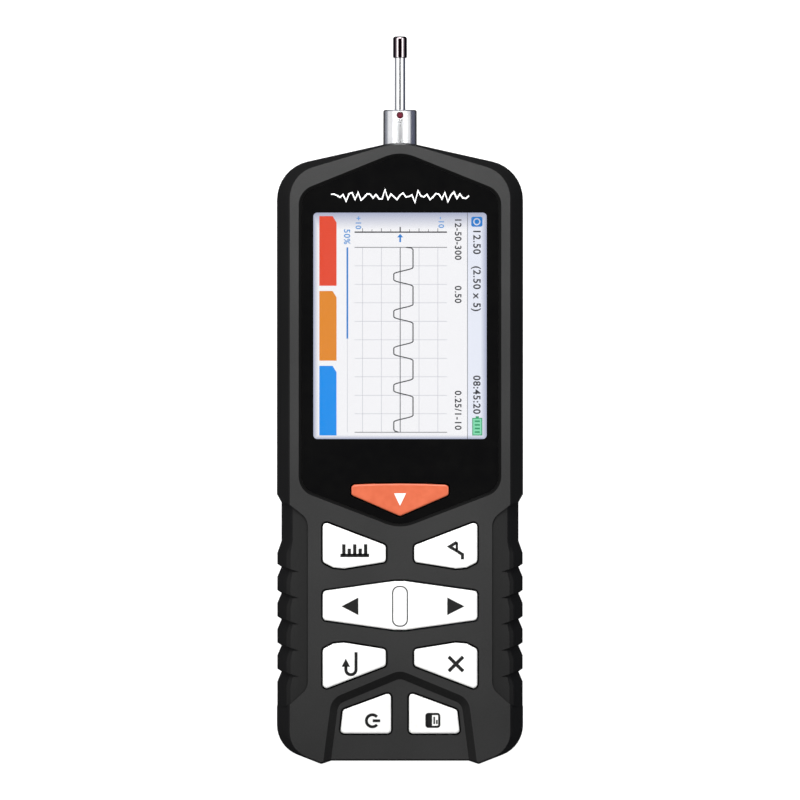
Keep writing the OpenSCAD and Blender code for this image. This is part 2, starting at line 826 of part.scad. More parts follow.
module key_mat() {
    rocker_pad_w = 9;
    foot = y_foot + foot_h + wall + 1;
    half = keypad_half_w + flange_w + 0.3;
    color("#5d6166") difference() {
        union() {
            translate([-half, foot, board_top]) cube([2 * half, start_top + flange_w + 0.6 - foot, mat_t]);
            translate([0, 0, board_top]) linear_extrude(mat_t + pad_h) offset(delta = -1) {
                start_shape();
                both_sides() {
                    corner_shape();
                    below_rocker() corner_shape();
                    low_shape();
                    intersection() {
                        rocker_shape();
                        translate([keypad_half_w - rocker_pad_w, rocker_cy - rocker_mid_h])
                            square([rocker_pad_w, 2 * rocker_mid_h]);
                    }
                }
            }
        }
        for (p = switch_places)
            translate([p.x, p.y, board_top - cut]) cylinder(r = dome_r + 0.3, h = dome_h + 0.1 + cut);
        for (side = [1, -1])
            translate([-lug_half_w - free_gap, rocker_cy + side * (lug_y + lug_t / 2) - lug_t / 2 - free_gap,
                       board_top - cut])
                cube([2 * (lug_half_w + free_gap), lug_t + 2 * free_gap, mat_t + 2 * cut]);
        both_sides() for (p = case_posts)
            translate([p.x, p.y, board_top - cut]) cylinder(r = case_boss_r + free_gap, h = mat_t + 2 * cut);
    }
}

module snap_domes() {
    color("#b9bcc0") for (p = switch_places)
        translate([p.x, p.y, board_top]) cylinder(r1 = dome_r, r2 = dome_r * 0.55, h = dome_h);
}

module socket_outline(grow) {
    offset(r = grow, $fn = 32) hull() {
        for (side = [-1, 1])
            translate([side * (socket_w - socket_h) / 2, 0]) circle(d = socket_h, $fn = 32);
    }
}

module charging_socket() {
    shell = 0.3;
    color("#a9adb1") translate([0, socket_y, socket_z]) rotate([-90, 0, 0]) {
        difference() {
            linear_extrude(socket_len) socket_outline(0);
            translate([0, 0, -cut]) linear_extrude(socket_len - 1 + cut) socket_outline(-shell);
        }
        translate([-socket_w / 2 + 1.6, -0.35, 1]) cube([socket_w - 3.2, 0.7, socket_len - 1.5]);
    }
}

module battery_pack() {
    edge = 1.5;
    color("#2b4f86") translate([-battery_w / 2, battery_y(), floor_z])
        rotate([-90, 0, 0]) linear_extrude(battery_len)
            translate([0, -battery_t]) round_corners(edge) square([battery_w, battery_t]);
}

// Keys

module start_key() {
    color("#f47c57") key_cap(face_z - window_drop + key_proud) start_shape();
}

module parameter_key() {
    color("#fbfbfb") key_cap(face_z + key_proud) corner_shape();
}

module scale_key() {
    color("#fbfbfb") mirror([1, 0, 0]) key_cap(face_z + key_proud) corner_shape();
}

module escape_key() {
    color("#fbfbfb") key_cap(face_z + key_proud) below_rocker() corner_shape();
}

module enter_key() {
    color("#fbfbfb") mirror([1, 0, 0]) key_cap(face_z + key_proud) below_rocker() corner_shape();
}

module save_key() {
    color("#fbfbfb") key_cap(recess_z + key_proud) low_shape();
}

module power_key() {
    color("#fbfbfb") mirror([1, 0, 0]) key_cap(recess_z + key_proud) low_shape();
}

// Two-way key that tips about trunnions along Y
module rocker_key() {
    color("#fbfbfb") {
        cap_block(face_z + key_proud) rocker_shape();
        translate([-1.2, rocker_cy - rocker_mid_h + 0.3, pivot_z - pivot_r - 0.1])
            cube([2.4, 2 * rocker_mid_h - 0.6, 1.5]);
        rod_y(rocker_cy - lug_y - lug_t + 0.2, pivot_r, 2 * (lug_y + lug_t - 0.2), 0, pivot_z);
    }
}

// Drive

module nose_bush() {
    color("#b98d3e") difference() {
        rod_y(bush_y + seat_gap / 2, bush_r, bush_len - seat_gap);
        rod_y(bush_y - cut, holder_r + run_gap, bush_len + 2 * cut);
    }
}

// Folded and machined frame: a base and two end plates
module drive_frame() {
    width = drive_x1 - drive_x0;
    plate_z = axis_z + carriage_h + 1 - drive_base_z;
    color("#a7abaf") difference() {
        union() {
            translate([drive_x0, gearbox_y, drive_base_z])
                cube([width, front_plate_y - gearbox_y, drive_base_t]);
            for (y = [gearbox_y, front_plate_y - plate_t])
                translate([drive_x0, y, drive_base_z]) cube([width, plate_t, plate_z]);
        }
        for (x = [-rod_x, rod_x])
            rod_y(gearbox_y - cut, rod_r + 0.02, front_plate_y - gearbox_y + 2 * cut, x);
        rod_y(front_plate_y - plate_t - cut, holder_r + free_gap, plate_t + 2 * cut);
        rod_y(front_plate_y - plate_t - cut, bearing_r + 0.02, plate_t + 2 * cut, screw_x);
        rod_y(gearbox_y - cut, screw_r + free_gap, plate_t + 2 * cut, screw_x);
        for (x = drive_screw_x, y = drive_screw_y)
            translate([x, y, drive_base_z - cut])
                cylinder(r = small_screw_r + 0.2, h = drive_base_t + 2 * cut);
    }
}

module guide_rods() {
    color("#d0d3d6") for (x = [-rod_x, rod_x])
        rod_y(gearbox_y + 0.3, rod_r, front_plate_y - gearbox_y - 0.6, x);
}

module drive_screws() {
    color("#8a8d90") for (x = drive_screw_x, y = drive_screw_y)
        translate([x, y, drive_base_z + drive_base_t]) rotate([180, 0, 0])
            screw(drive_head_r, drive_head_h, small_screw_r, drive_base_t + drive_thread);
}

// Output end of the motor, bored for the lead screw
module drive_gearbox() {
    bore = 4;
    color("#c2a15a") difference() {
        translate([screw_x - motor_d / 2, motor_y, axis_z - motor_h / 2])
            cube([motor_d, gearbox_len, motor_h]);
        rod_y(gearbox_y - bore, screw_r + run_gap, bore + cut, screw_x);
    }
}

// Motor can with two flats
module drive_motor() {
    color("#9da1a5") intersection() {
        rod_y(motor_y - motor_len, motor_d / 2, motor_len, screw_x);
        translate([screw_x - motor_d / 2, motor_y - motor_len, axis_z - motor_h / 2])
            cube([motor_d, motor_len, motor_h]);
    }
}

module lead_screw() {
    color("#d0d3d6") rod_y(gearbox_y - 3.5, screw_r, front_plate_y - gearbox_y + 3, screw_x);
}

module screw_bearing() {
    color("#b98d3e") difference() {
        union() {
            rod_y(front_plate_y - plate_t, bearing_r, plate_t, screw_x);
            rod_y(front_plate_y, bearing_r + 0.8, 0.8, screw_x);
        }
        rod_y(front_plate_y - plate_t - cut, screw_r + run_gap, plate_t + 2, screw_x);
    }
}

// Block that runs on the guide rods and carries the pickup
module carriage() {
    color("#3c4046") difference() {
        translate([drive_x0 + 0.4, carriage_y0, axis_z - carriage_h])
            cube([drive_x1 - drive_x0 - 0.8, carriage_len, 2 * carriage_h]);
        for (x = [-rod_x, rod_x])
            rod_y(carriage_y0 - cut, rod_r + run_gap, carriage_len + 2 * cut, x);
        rod_y(carriage_y0 - cut, nut_r + 0.02, carriage_len + 2 * cut, screw_x);
        rod_y(carriage_y1 - spigot_len - 0.3, spigot_r + run_gap, spigot_len + 1);
    }
}

module drive_nut() {
    color("#b98d3e") difference() {
        rod_y(carriage_y0 + 0.2, nut_r, carriage_len - 0.4, screw_x);
        rod_y(carriage_y0 - cut, screw_r + run_gap, carriage_len + 2 * cut, screw_x);
    }
}

// Pickup

// Turned holder with a spigot for the carriage and a bore for the stylus
module pickup_holder() {
    chamfer = 0.3;
    color("#c9cbce") difference() {
        union() {
            rod_y(carriage_y1, holder_r, holder_y1 - chamfer - carriage_y1);
            translate([0, holder_y1 - chamfer, axis_z]) rotate([-90, 0, 0])
                cylinder(r1 = holder_r, r2 = holder_r - chamfer, h = chamfer);
            rod_y(carriage_y1 - spigot_len, spigot_r, spigot_len + cut);
        }
        rod_y(holder_y1 - tube_seat, tube_r + 0.02, tube_seat + cut);
        rod_y(arm_pivot_y - 2, tube_r, holder_y1 - arm_pivot_y);
        translate([-holder_r - cut, arm_pivot_y, axis_z]) rotate([0, 90, 0])
            cylinder(r = arm_pin_r + 0.01, h = holder_d + 2 * cut);
        translate([0, holder_y1 - 1.35, axis_z + holder_r - 0.5]) cylinder(r = dot_d / 2 + 0.02, h = 1);
    }
}

module alignment_dot() {
    color("#a8202a") translate([0, holder_y1 - 1.35, axis_z + holder_r - 0.5])
        cylinder(r = dot_d / 2, h = 0.5);
}

module stylus_tube() {
    color("#d9dbdd") difference() {
        rod_y(holder_y1 - tube_seat + 0.1, tube_r, tube_y1 + 1.5 - holder_y1 + tube_seat - 0.1);
        rod_y(holder_y1 - tube_seat - cut, pickup_room_r, tube_out + tube_seat + 3);
    }
}

// Skid over the stylus, with a rounded nose and a hole for the tip
module nosepiece() {
    nose_edge = 0.6;
    profile = concat(
        [[0, 0], [nose_r - 0.15, 0], [nose_r, 0.15]],
        [for (a = [0 : 15 : 90])
            [nose_r - nose_edge + nose_edge * cos(a), nose_len - nose_edge + nose_edge * sin(a)]],
        [[0, nose_len]]);
    color("#3a3c40") difference() {
        translate([0, tube_y1, axis_z]) rotate([-90, 0, 0]) rotate_extrude() polygon(profile);
        rod_y(tube_y1 - cut, tube_r + 0.02, 1.6 + cut);
        rod_y(tube_y1, pickup_room_r, nose_len - 0.7);
        translate([0, tip_y, axis_z - nose_d]) cylinder(r = arm_r + 0.35, h = nose_d);
    }
}

module stylus_pivot() {
    color("#d0d3d6") translate([-holder_r + 0.15, arm_pivot_y, axis_z]) rotate([0, 90, 0])
        cylinder(r = arm_pin_r, h = holder_d - 0.3);
}

// Lever inside the pickup that carries the tip
module stylus_arm() {
    eye_r = 0.8;
    color("#d9dbdd") difference() {
        union() {
            rod_y(arm_pivot_y, arm_r, tip_y + 0.4 - arm_pivot_y);
            translate([-0.8, arm_pivot_y, axis_z]) rotate([0, 90, 0]) cylinder(r = eye_r, h = 1.6);
        }
        translate([-1, arm_pivot_y, axis_z]) rotate([0, 90, 0]) cylinder(r = arm_pin_r + 0.03, h = 2);
        translate([0, tip_y, axis_z - 2]) cylinder(r = 0.27, h = 2.2);
    }
}

// Diamond cone on a short shank
module stylus_tip() {
    shank_r = 0.25;
    reach = nose_r + tip_reach;
    color("#e6e9ee") translate([0, tip_y, axis_z - reach]) {
        cylinder(r1 = 0.04, r2 = shank_r, h = 0.45);
        translate([0, 0, 0.45]) cylinder(r = shank_r, h = reach - 0.45 + 0.15);
    }
}

front_shell();
rear_shell();
left_grip();
right_grip();
case_screws();
window_panel();
display_module();
main_board();
board_screws();
key_mat();
snap_domes();
charging_socket();
battery_pack();
start_key();
scale_key();
parameter_key();
rocker_key();
enter_key();
escape_key();
power_key();
save_key();
nose_bush();
drive_frame();
guide_rods();
drive_screws();
drive_motor();
drive_gearbox();
lead_screw();
screw_bearing();
carriage();
drive_nut();
pickup_holder();
alignment_dot();
stylus_tube();
nosepiece();
stylus_pivot();
stylus_arm();
stylus_tip();
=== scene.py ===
# %% [markdown]
# # A pocket surface roughness tester
#
# The CAD model already holds the true shape of this instrument: a moulded housing with ribbed
# grips, a window over a display, eight keys and a stylus pickup that slides in and out at the top.
# Here it gets its looks. The frame is loaded first, so every later piece can be placed from it.

# %% Load the frame
import json
import math

import bmesh
import bpy
from mathutils import Matrix, Vector

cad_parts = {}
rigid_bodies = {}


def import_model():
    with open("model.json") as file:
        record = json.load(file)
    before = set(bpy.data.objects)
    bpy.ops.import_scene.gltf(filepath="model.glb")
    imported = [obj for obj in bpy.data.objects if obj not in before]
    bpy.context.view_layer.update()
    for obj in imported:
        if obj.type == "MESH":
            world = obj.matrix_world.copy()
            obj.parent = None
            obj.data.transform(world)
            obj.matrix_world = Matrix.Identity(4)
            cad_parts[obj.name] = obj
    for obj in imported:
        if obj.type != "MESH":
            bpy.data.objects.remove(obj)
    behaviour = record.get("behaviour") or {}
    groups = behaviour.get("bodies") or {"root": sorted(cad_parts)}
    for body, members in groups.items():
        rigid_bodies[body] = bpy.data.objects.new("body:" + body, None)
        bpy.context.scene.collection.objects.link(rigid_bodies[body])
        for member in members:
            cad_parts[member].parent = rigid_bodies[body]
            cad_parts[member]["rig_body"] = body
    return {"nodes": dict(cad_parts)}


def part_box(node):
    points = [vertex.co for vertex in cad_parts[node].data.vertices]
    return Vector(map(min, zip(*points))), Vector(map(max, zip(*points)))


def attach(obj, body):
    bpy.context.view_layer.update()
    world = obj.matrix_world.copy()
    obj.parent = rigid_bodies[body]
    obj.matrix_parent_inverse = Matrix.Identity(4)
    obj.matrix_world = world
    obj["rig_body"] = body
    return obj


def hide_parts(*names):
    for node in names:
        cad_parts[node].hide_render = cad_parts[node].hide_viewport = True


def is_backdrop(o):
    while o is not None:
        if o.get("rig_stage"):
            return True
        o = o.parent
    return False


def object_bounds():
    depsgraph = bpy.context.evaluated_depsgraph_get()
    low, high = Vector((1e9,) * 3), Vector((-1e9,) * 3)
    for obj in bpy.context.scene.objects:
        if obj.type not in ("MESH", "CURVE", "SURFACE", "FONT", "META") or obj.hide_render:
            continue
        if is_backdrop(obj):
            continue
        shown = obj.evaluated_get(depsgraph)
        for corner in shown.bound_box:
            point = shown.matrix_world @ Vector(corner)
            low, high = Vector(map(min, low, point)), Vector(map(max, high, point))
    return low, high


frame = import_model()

MM = 0.001
scene = bpy.context.scene
cad_low, cad_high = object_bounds()
print("CAD box in mm:", [round(size / MM, 1) for size in cad_high - cad_low])

# %% [markdown]
# ## Camera
#
# The photograph looks straight down on the front with almost no perspective. An orthographic camera
# would match that, but other views of the part want a lens, so a long lens far away does the job:
# it takes in 200 mm of width at a height a little below the front face.

# %% Camera
LENS_MM = 800.0
VIEW_WIDTH = 200 * MM
FRAMED_Z = 24 * MM

lens = bpy.data.cameras.new("long lens")
lens.lens = LENS_MM
camera = bpy.data.objects.new("camera", lens)
camera.location = (0, 0, FRAMED_Z + VIEW_WIDTH * LENS_MM / lens.sensor_width)
scene.collection.objects.link(camera)
scene.camera = camera
scene.view_settings.view_transform = "Standard"
print("camera height in m:", round(camera.location.z, 3))

# %% [markdown]
# ## Nodes in one line each
#
# Every finish below is a small node tree. Writing them by hand takes three lines for each node, so
# one helper makes a node, sets its options and fills its inputs, either with a value or with a wire
# from another node's output. The others cover the nodes that come up most: Math, Map Range, Color Ramp
# and plain colours.

# %% Node helpers
def feed(tree, socket, value):
    """Fill a socket with a value, or wire it to another node's output."""
    if isinstance(value, bpy.types.NodeSocket):
        tree.links.new(value, socket)
    else:
        socket.default_value = value


def add_node(tree, kind, options, inputs):
    """Make a node. Options are its properties, and inputs are values or other outputs."""
    made = tree.nodes.new(kind)
    for name, value in (options or {}).items():
        setattr(made, name, value)
    for name, value in inputs.items():
        feed(tree, made.inputs[name.replace("_", " ")], value)
    return made


def wire(tree, kind, options=None, **inputs):
    """Make a shader node. An underscore in an input's name stands for a space."""
    return add_node(tree, "ShaderNode" + kind, options, inputs)


def maths(tree, operation, *values):
    """Result of a Math node on these values or outputs."""
    made = wire(tree, "Math", {"operation": operation})
    for socket, value in zip(made.inputs, values):
        feed(tree, socket, value)
    return made.outputs["Value"]


def between(tree, value, start, stop, low=0.0, high=1.0):
    """Number that runs from low to high while the value runs from start to stop."""
    made = wire(tree, "MapRange", Value=value, From_Min=start, From_Max=stop, To_Min=low, To_Max=high)
    return made.outputs["Result"]


def ramp(tree, factor, stops):
    """Turn a number into a colour. Each stop is a place from 0 to 1 and a colour or its screen code."""
    made = wire(tree, "ValToRGB", Fac=factor)
    elements = made.color_ramp.elements
    while len(elements) < len(stops):
        elements.new(0.5)
    for element, (place, colour) in zip(elements, stops):
        element.position = place
        element.color = tone(colour) if isinstance(colour, str) else colour
    return made.outputs["Color"]


def tone(code):
    """Linear colour of a six-digit screen colour."""
    shares = [int(code[i:i + 2], 16) / 255 for i in (0, 2, 4)]
    return [s / 12.92 if s < 0.04045 else ((s + 0.055) / 1.055) ** 2.4 for s in shares] + [1.0]


def grey(level):
    """Grey of this linear level."""
    return (level, level, level, 1.0)


print("node helpers ready")

# %% [markdown]
# ## Studio
#
# A glossy black window shows whatever hangs over it, so a photographer keeps the space behind the
# camera dark and puts the light in a ring around it. The dome does the same: dark at its very top,
# white from there to the horizon, and dim below, which is what gives polished round metal its dark
# edges. It is dimmer on the right. The floor is a sheet of lit paper, left out of reflections and of
# bounced light, so that the sides of the dark housing stay dark. Two narrow strips of light beside
# the stylus draw the bright lines along its polished tube. A dark card hangs flat past the foot, out
# of the camera's sight. It takes light away from the lowest keys' surroundings, little by little.

# %% Studio dome
# Brightness by height, from the horizon at 0 to straight up at 1
DOME_STOPS = [(0.0, 1.25), (0.45, 1.15), (0.955, 1.0), (0.985, 0.05), (1.0, 0.02)]
LOW_LEFT = (0.40, 0.41, 0.46, 1.0)
LOW_RIGHT = (0.13, 0.14, 0.20, 1.0)
LOWEST = grey(0.03)
LOWEST_BAND = (-0.75, -0.4)
HORIZON_TILT = -0.15
HORIZON_BAND = (0.04, 0.12)
DOME_STRENGTH = 0.80

dome = bpy.data.worlds.new("studio dome")
dome.use_nodes = True
dome_tree = dome.node_tree
dome_tree.nodes.clear()
direction = wire(dome_tree, "TexCoord").outputs["Generated"]
split = wire(dome_tree, "SeparateXYZ", Vector=direction).outputs
above = ramp(dome_tree, split["Z"], [(place, grey(level)) for place, level in DOME_STOPS])
rightwards = between(dome_tree, split["X"], -1.0, 1.0)
dim_ring = ramp(dome_tree, rightwards, [(0.0, LOW_LEFT), (1.0, LOW_RIGHT)])
shallow = between(dome_tree, split["Z"], *LOWEST_BAND)
below = wire(dome_tree, "MixRGB", Fac=shallow, Color1=LOWEST, Color2=dim_ring).outputs["Color"]
tilted = maths(dome_tree, "MULTIPLY_ADD", split["X"], HORIZON_TILT, split["Z"])
horizon = between(dome_tree, tilted, *HORIZON_BAND)
dome_light = wire(dome_tree, "MixRGB", Fac=horizon, Color1=below, Color2=above).outputs["Color"]
shine = wire(dome_tree, "Background", Color=dome_light, Strength=DOME_STRENGTH).outputs["Background"]
wire(dome_tree, "OutputWorld", Surface=shine)
scene.world = dome
print("dome nodes:", len(dome_tree.nodes))

# %% Softboxes
# Each softbox: place and what it faces in mm, width, depth, and power in watts
SOFTBOXES = {
    "top_softbox": ((-15, 210, 270), (0, 40, 20), 220, 220, 1.0),
    "left_strip": ((-330, 80, 420), (0, 80, 13), 400, 90, 0.45),
    "right_strip": ((330, 80, 420), (0, 80, 13), 400, 90, 0.40),
}


def softbox(name, place, target, width, depth, power):
    """Rectangular area light that the camera can't see."""
    light = bpy.data.lights.new(name, "AREA")
    light.shape = "RECTANGLE"
    light.size = width * MM
    light.size_y = depth * MM
    light.energy = power
    lamp = bpy.data.objects.new(name, light)
    lamp.location = Vector(place) * MM
    lamp.rotation_euler = (Vector(target) - Vector(place)).to_track_quat("-Z", "Y").to_euler()
    lamp.visible_camera = False
    scene.collection.objects.link(lamp)
    return lamp


softboxes = [softbox(name, *settings) for name, settings in SOFTBOXES.items()]
print("lights:", len(softboxes))

# %% Floor and dark card
FLOOR_REACH = 12.0
FLOOR_Z = -0.2 * MM
FLOOR_TONE = 0.35
FLOOR_GLOW = 0.95
CARD_LOW = (-150 * MM, -220 * MM)
CARD_HIGH = (150 * MM, -95 * MM)
CARD_Z = 120 * MM
CARD_TONE = 0.01
SHEET_ROUGHNESS = 0.9


def sheet(name, low, high, z, base, glow):
    """Flat sheet of the studio between two corners, with a grey base and a white glow."""
    paper = bpy.data.materials.new(name)
    paper.use_nodes = True
    sockets = paper.node_tree.nodes["Principled BSDF"].inputs
    sockets["Base Color"].default_value = grey(base)
    sockets["Roughness"].default_value = SHEET_ROUGHNESS
    sockets["Emission Color"].default_value = grey(1.0)
    sockets["Emission Strength"].default_value = glow
    corners = [(low[0], low[1], z), (high[0], low[1], z), (high[0], high[1], z), (low[0], high[1], z)]
    mesh = bpy.data.meshes.new(name)
    mesh.from_pydata(corners, [], [range(4)])
    mesh.materials.append(paper)
    thing = bpy.data.objects.new(name, mesh)
    scene.collection.objects.link(thing)
    thing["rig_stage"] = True
    return thing


floor = sheet("studio_floor", (-FLOOR_REACH, -FLOOR_REACH), (FLOOR_REACH, FLOOR_REACH), FLOOR_Z,
              FLOOR_TONE, FLOOR_GLOW)
floor.visible_glossy = False
floor.visible_diffuse = False
card = sheet("dark_card", CARD_LOW, CARD_HIGH, CARD_Z, CARD_TONE, 0.0)
card.visible_camera = False
print("floor and card laid")

# %% [markdown]
# ## Moulded and rubbery finishes
#
# A moulded housing isn't one flat grey: the tool's fine spark texture scatters light in specks, and
# the tone drifts a little over the part. One function covers all such finishes. A fine noise gives
# the specks and the bump, a broad one the drift, and a Bevel node rounds every edge in the shading,
# because no moulded edge is perfectly sharp.

# %% Parts of a finish
EDGE_SAMPLES = 6
# Most of a noise lies between these values
NOISE_BAND = (0.3, 0.7)


def blank(name):
    """New material with only a Principled shader and its output."""
    material = bpy.data.materials.new(name)
    material.use_nodes = True
    return material, material.node_tree, material.node_tree.nodes["Principled BSDF"]


def set_shader(shader, sockets):
    """Set the shader's own sockets to plain values."""
    for name, value in sockets.items():
        shader.inputs[name].default_value = value


def noise(tree, place, size, detail=3.0):
    """Noise with features of this size in mm."""
    return wire(tree, "TexNoise", Vector=place, Scale=1 / (size * MM), Detail=detail).outputs["Fac"]


def two_tone(tree, value, tones):
    """Colour that goes from one tone to the other where noise mostly varies."""
    return ramp(tree, value, list(zip(NOISE_BAND, tones)))


def relief(tree, height, strength, bump, edge):
    """Normal with a bump in mm, over edges that are rounded to a radius in mm."""
    rounded = wire(tree, "Bevel", {"samples": EDGE_SAMPLES}, Radius=edge * MM).outputs["Normal"]
    made = wire(tree, "Bump", Strength=strength, Distance=bump * MM, Height=height, Normal=rounded)
    return made.outputs["Normal"]


def coat(tree, shader, colour, rough, normal, sockets):
    """Wire a finish to its shader and set the shader's other sockets."""
    tree.links.new(colour, shader.inputs["Base Color"])
    tree.links.new(rough, shader.inputs["Roughness"])
    tree.links.new(normal, shader.inputs["Normal"])
    set_shader(shader, {key.replace("_", " "): value for key, value in sockets.items()})


print("finish helpers ready")

# %% Grained finishes
DRIFT_MM = 25
DRIFT = 0.15
GRAIN_STRENGTH = 0.6
SPECK_BAND = (0.25, 0.75)


def grained(name, tones, grain, roughness, bump, edge=0.12, **sockets):
    """Finish with two tones, a grain in mm, a roughness range, a bump and an edge radius in mm."""
    material, tree, shader = blank(name)
    place = wire(tree, "TexCoord").outputs["Object"]
    fine = noise(tree, place, grain)
    broad = noise(tree, place, DRIFT_MM, 2.0)
    speck = maths(tree, "ADD", fine, between(tree, broad, *NOISE_BAND, -DRIFT, DRIFT))
    rough = between(tree, speck, *SPECK_BAND, *roughness)
    normal = relief(tree, fine, GRAIN_STRENGTH, bump, edge)
    coat(tree, shader, two_tone(tree, speck, tones), rough, normal, sockets)
    return material


face_plastic = grained("face_plastic", ("1f1f1f", "262626"), 0.30, (0.44, 0.56), 0.02,
                       Specular_IOR_Level=0.35)
# Darker copy of the face plastic for the steep flanks: its tones are painted shade
flank_painted_shade = grained("flank_painted_shade", ("171717", "1c1c1c"), 0.30, (0.50, 0.60), 0.01,
                        Specular_IOR_Level=0.08)
back_plastic = grained("back_plastic", ("1b1b1b", "212121"), 0.30, (0.50, 0.64), 0.02,
                       Specular_IOR_Level=0.25)
grip_rubber = grained("grip_rubber", ("171717", "1b1b1b"), 0.22, (0.58, 0.72), 0.02, 0.15,
                      Specular_IOR_Level=0.2)
# Darker copy of the grip rubber for the grips' flanks and notches: its tones are painted shade
grip_flank_painted_shade = grained("grip_flank_painted_shade", ("131313", "181818"), 0.22, (0.50, 0.60), 0.01, 0.15,
                       Specular_IOR_Level=0.12)
key_plastic = grained("key_plastic", ("f1f1ef", "f9f9f8"), 1.6, (0.34, 0.42), 0.004, 0.08)
start_plastic = grained("start_plastic", ("c75e3d", "cf6542"), 1.6, (0.30, 0.40), 0.004, 0.08)
# Dark finish of the keys' walls and flange: painted shade for the gap round each key
key_skirt_painted_shade = grained("key_skirt_painted_shade", ("141414", "1a1a1a"), 0.5, (0.55, 0.65), 0.004, 0.05,
                    Specular_IOR_Level=0.2)
# Black finish of the window seat's slope: painted shade in the seat
seat_painted_shade = grained("seat_painted_shade", ("0a0a0a", "0e0e0e"), 0.30, (0.55, 0.65), 0.01,
                     Specular_IOR_Level=0.05)
window_black = grained("window_black", ("121213", "161616"), 3.0, (0.05, 0.08), 0.0004, 0.03,
                       Coat_Weight=0.4, Coat_Roughness=0.03)
print("moulded finishes ready")

# %% [markdown]
# ## Metal finishes
#
# The pickup's holder is turned on a lathe, so it carries fine rings around its axis, which runs
# along Y. A Wave texture in bands along Y draws them. Polished tubes get the same tree with finer,
# weaker rings. Noise keeps the rings from being perfectly even.

# %% Turned metal
# A Wave texture of scale 1 has one band in this length
BAND = 0.314
CLOUD_MM = 3
RING_STRENGTH = 0.4


def turned(name, tones, ring, roughness, bump, edge=0.1):
    """Metal with lathe rings along Y: tones, ring spacing, roughness range, bump and edge, in mm."""
    material, tree, shader = blank(name)
    place = wire(tree, "TexCoord").outputs["Object"]
    rings = wire(tree, "TexWave", {"wave_type": "BANDS", "bands_direction": "Y"}, Vector=place,
                 Scale=BAND / (ring * MM), Distortion=1.5, Detail=2.0, Detail_Scale=2.0).outputs["Fac"]
    colour = two_tone(tree, noise(tree, place, CLOUD_MM), tones)
    rough = between(tree, rings, 0.0, 1.0, *roughness)
    normal = relief(tree, rings, RING_STRENGTH, bump, edge)
    coat(tree, shader, colour, rough, normal, {"Metallic": 1.0})
    return material


satin_steel = turned("satin_steel", ("e3e4e7", "eff0f2"), 0.18, (0.20, 0.26), 0.0005)
polished_steel = turned("polished_steel", ("e6e7ea", "f2f3f4"), 0.10, (0.10, 0.14), 0.0005)
dark_chrome = turned("dark_chrome", ("c9bcc0", "d8ccd0"), 0.10, (0.05, 0.09), 0.0005)
plain_steel = turned("plain_steel", ("8e9093", "a2a4a8"), 0.25, (0.26, 0.38), 0.004)
brass = turned("brass", ("c79a4c", "dcb46a"), 0.25, (0.22, 0.34), 0.004)
aluminium = turned("aluminium", ("b9bcc0", "cdd0d3"), 0.30, (0.30, 0.42), 0.004)
print("metals ready")

# %% [markdown]
# ## Dark chrome
#
# The nosepiece is plated in dark chrome. Its colour carries a painted reflection that depends on the
# angle at which it is seen: dark where it faces the eye, bright bands a little to the side, and dark
# again at the edge, as polished round metal mirrors its studio. A Layer Weight node measures that angle,
# and a ramp of it is multiplied into the metal's own colour.

# %% Painted reflection on the dark chrome
# Stops of the painted reflection: dark facing the eye, bright bands a little to the side, dark at the
# edge
REFLECTION_BAND_STOPS = [(0.0, "33262a"), (0.025, "33262a"), (0.05, "ffffff"), (0.12, "ffffff"), (0.21, "2c2530")]

chrome_tree = dark_chrome.node_tree
chrome_shader = chrome_tree.nodes["Principled BSDF"]
metal_colour = chrome_shader.inputs["Base Color"].links[0].from_socket
facing = wire(chrome_tree, "LayerWeight", Blend=0.5).outputs["Facing"]
painted_reflection = ramp(chrome_tree, facing, REFLECTION_BAND_STOPS)
with_painted_reflection = wire(chrome_tree, "MixRGB", {"blend_type": "MULTIPLY"}, Fac=1.0, Color1=metal_colour, Color2=painted_reflection)
chrome_tree.links.new(with_painted_reflection.outputs["Color"], chrome_shader.inputs["Base Color"])
print("film stops:", len(REFLECTION_BAND_STOPS))

# %% [markdown]
# ## Finishes of small and hidden pieces
#
# Enamel, printing ink, the green board, the battery's film and the stylus diamond appear on small
# pieces or inside the housing. They use the same grained tree with their own tones.

# %% Small finishes
red_enamel = grained("red_enamel", ("4a0811", "6c111c"), 0.5, (0.10, 0.16), 0.002, 0.05, Coat_Weight=0.3)
dark_ink = grained("dark_ink", ("0e0e0e", "141414"), 0.4, (0.40, 0.50), 0.002, 0.03,
                   Specular_IOR_Level=0.3)
grey_ink = grained("grey_ink", ("3a3a3c", "444446"), 0.4, (0.40, 0.50), 0.002, 0.03)
white_ink = grained("white_ink", ("efeff0", "fafafa"), 0.4, (0.36, 0.46), 0.002, 0.03)
solder_mask = grained("solder_mask", ("12442a", "1c5f3b"), 0.8, (0.30, 0.45), 0.01)
mat_silicone = grained("mat_silicone", ("5c6065", "666a6f"), 0.5, (0.60, 0.75), 0.01)
battery_film = grained("battery_film", ("27477c", "315a97"), 2.0, (0.22, 0.34), 0.02)
dark_nylon = grained("dark_nylon", ("33363b", "3f4248"), 0.6, (0.45, 0.60), 0.01)
display_white = grained("display_white", ("cfd2da", "dde0e8"), 1.0, (0.40, 0.50), 0.004)
diamond = grained("diamond", ("dfe4ea", "f2f5f8"), 0.1, (0.05, 0.10), 0.001, 0.01, IOR=2.4)
print("small finishes ready")

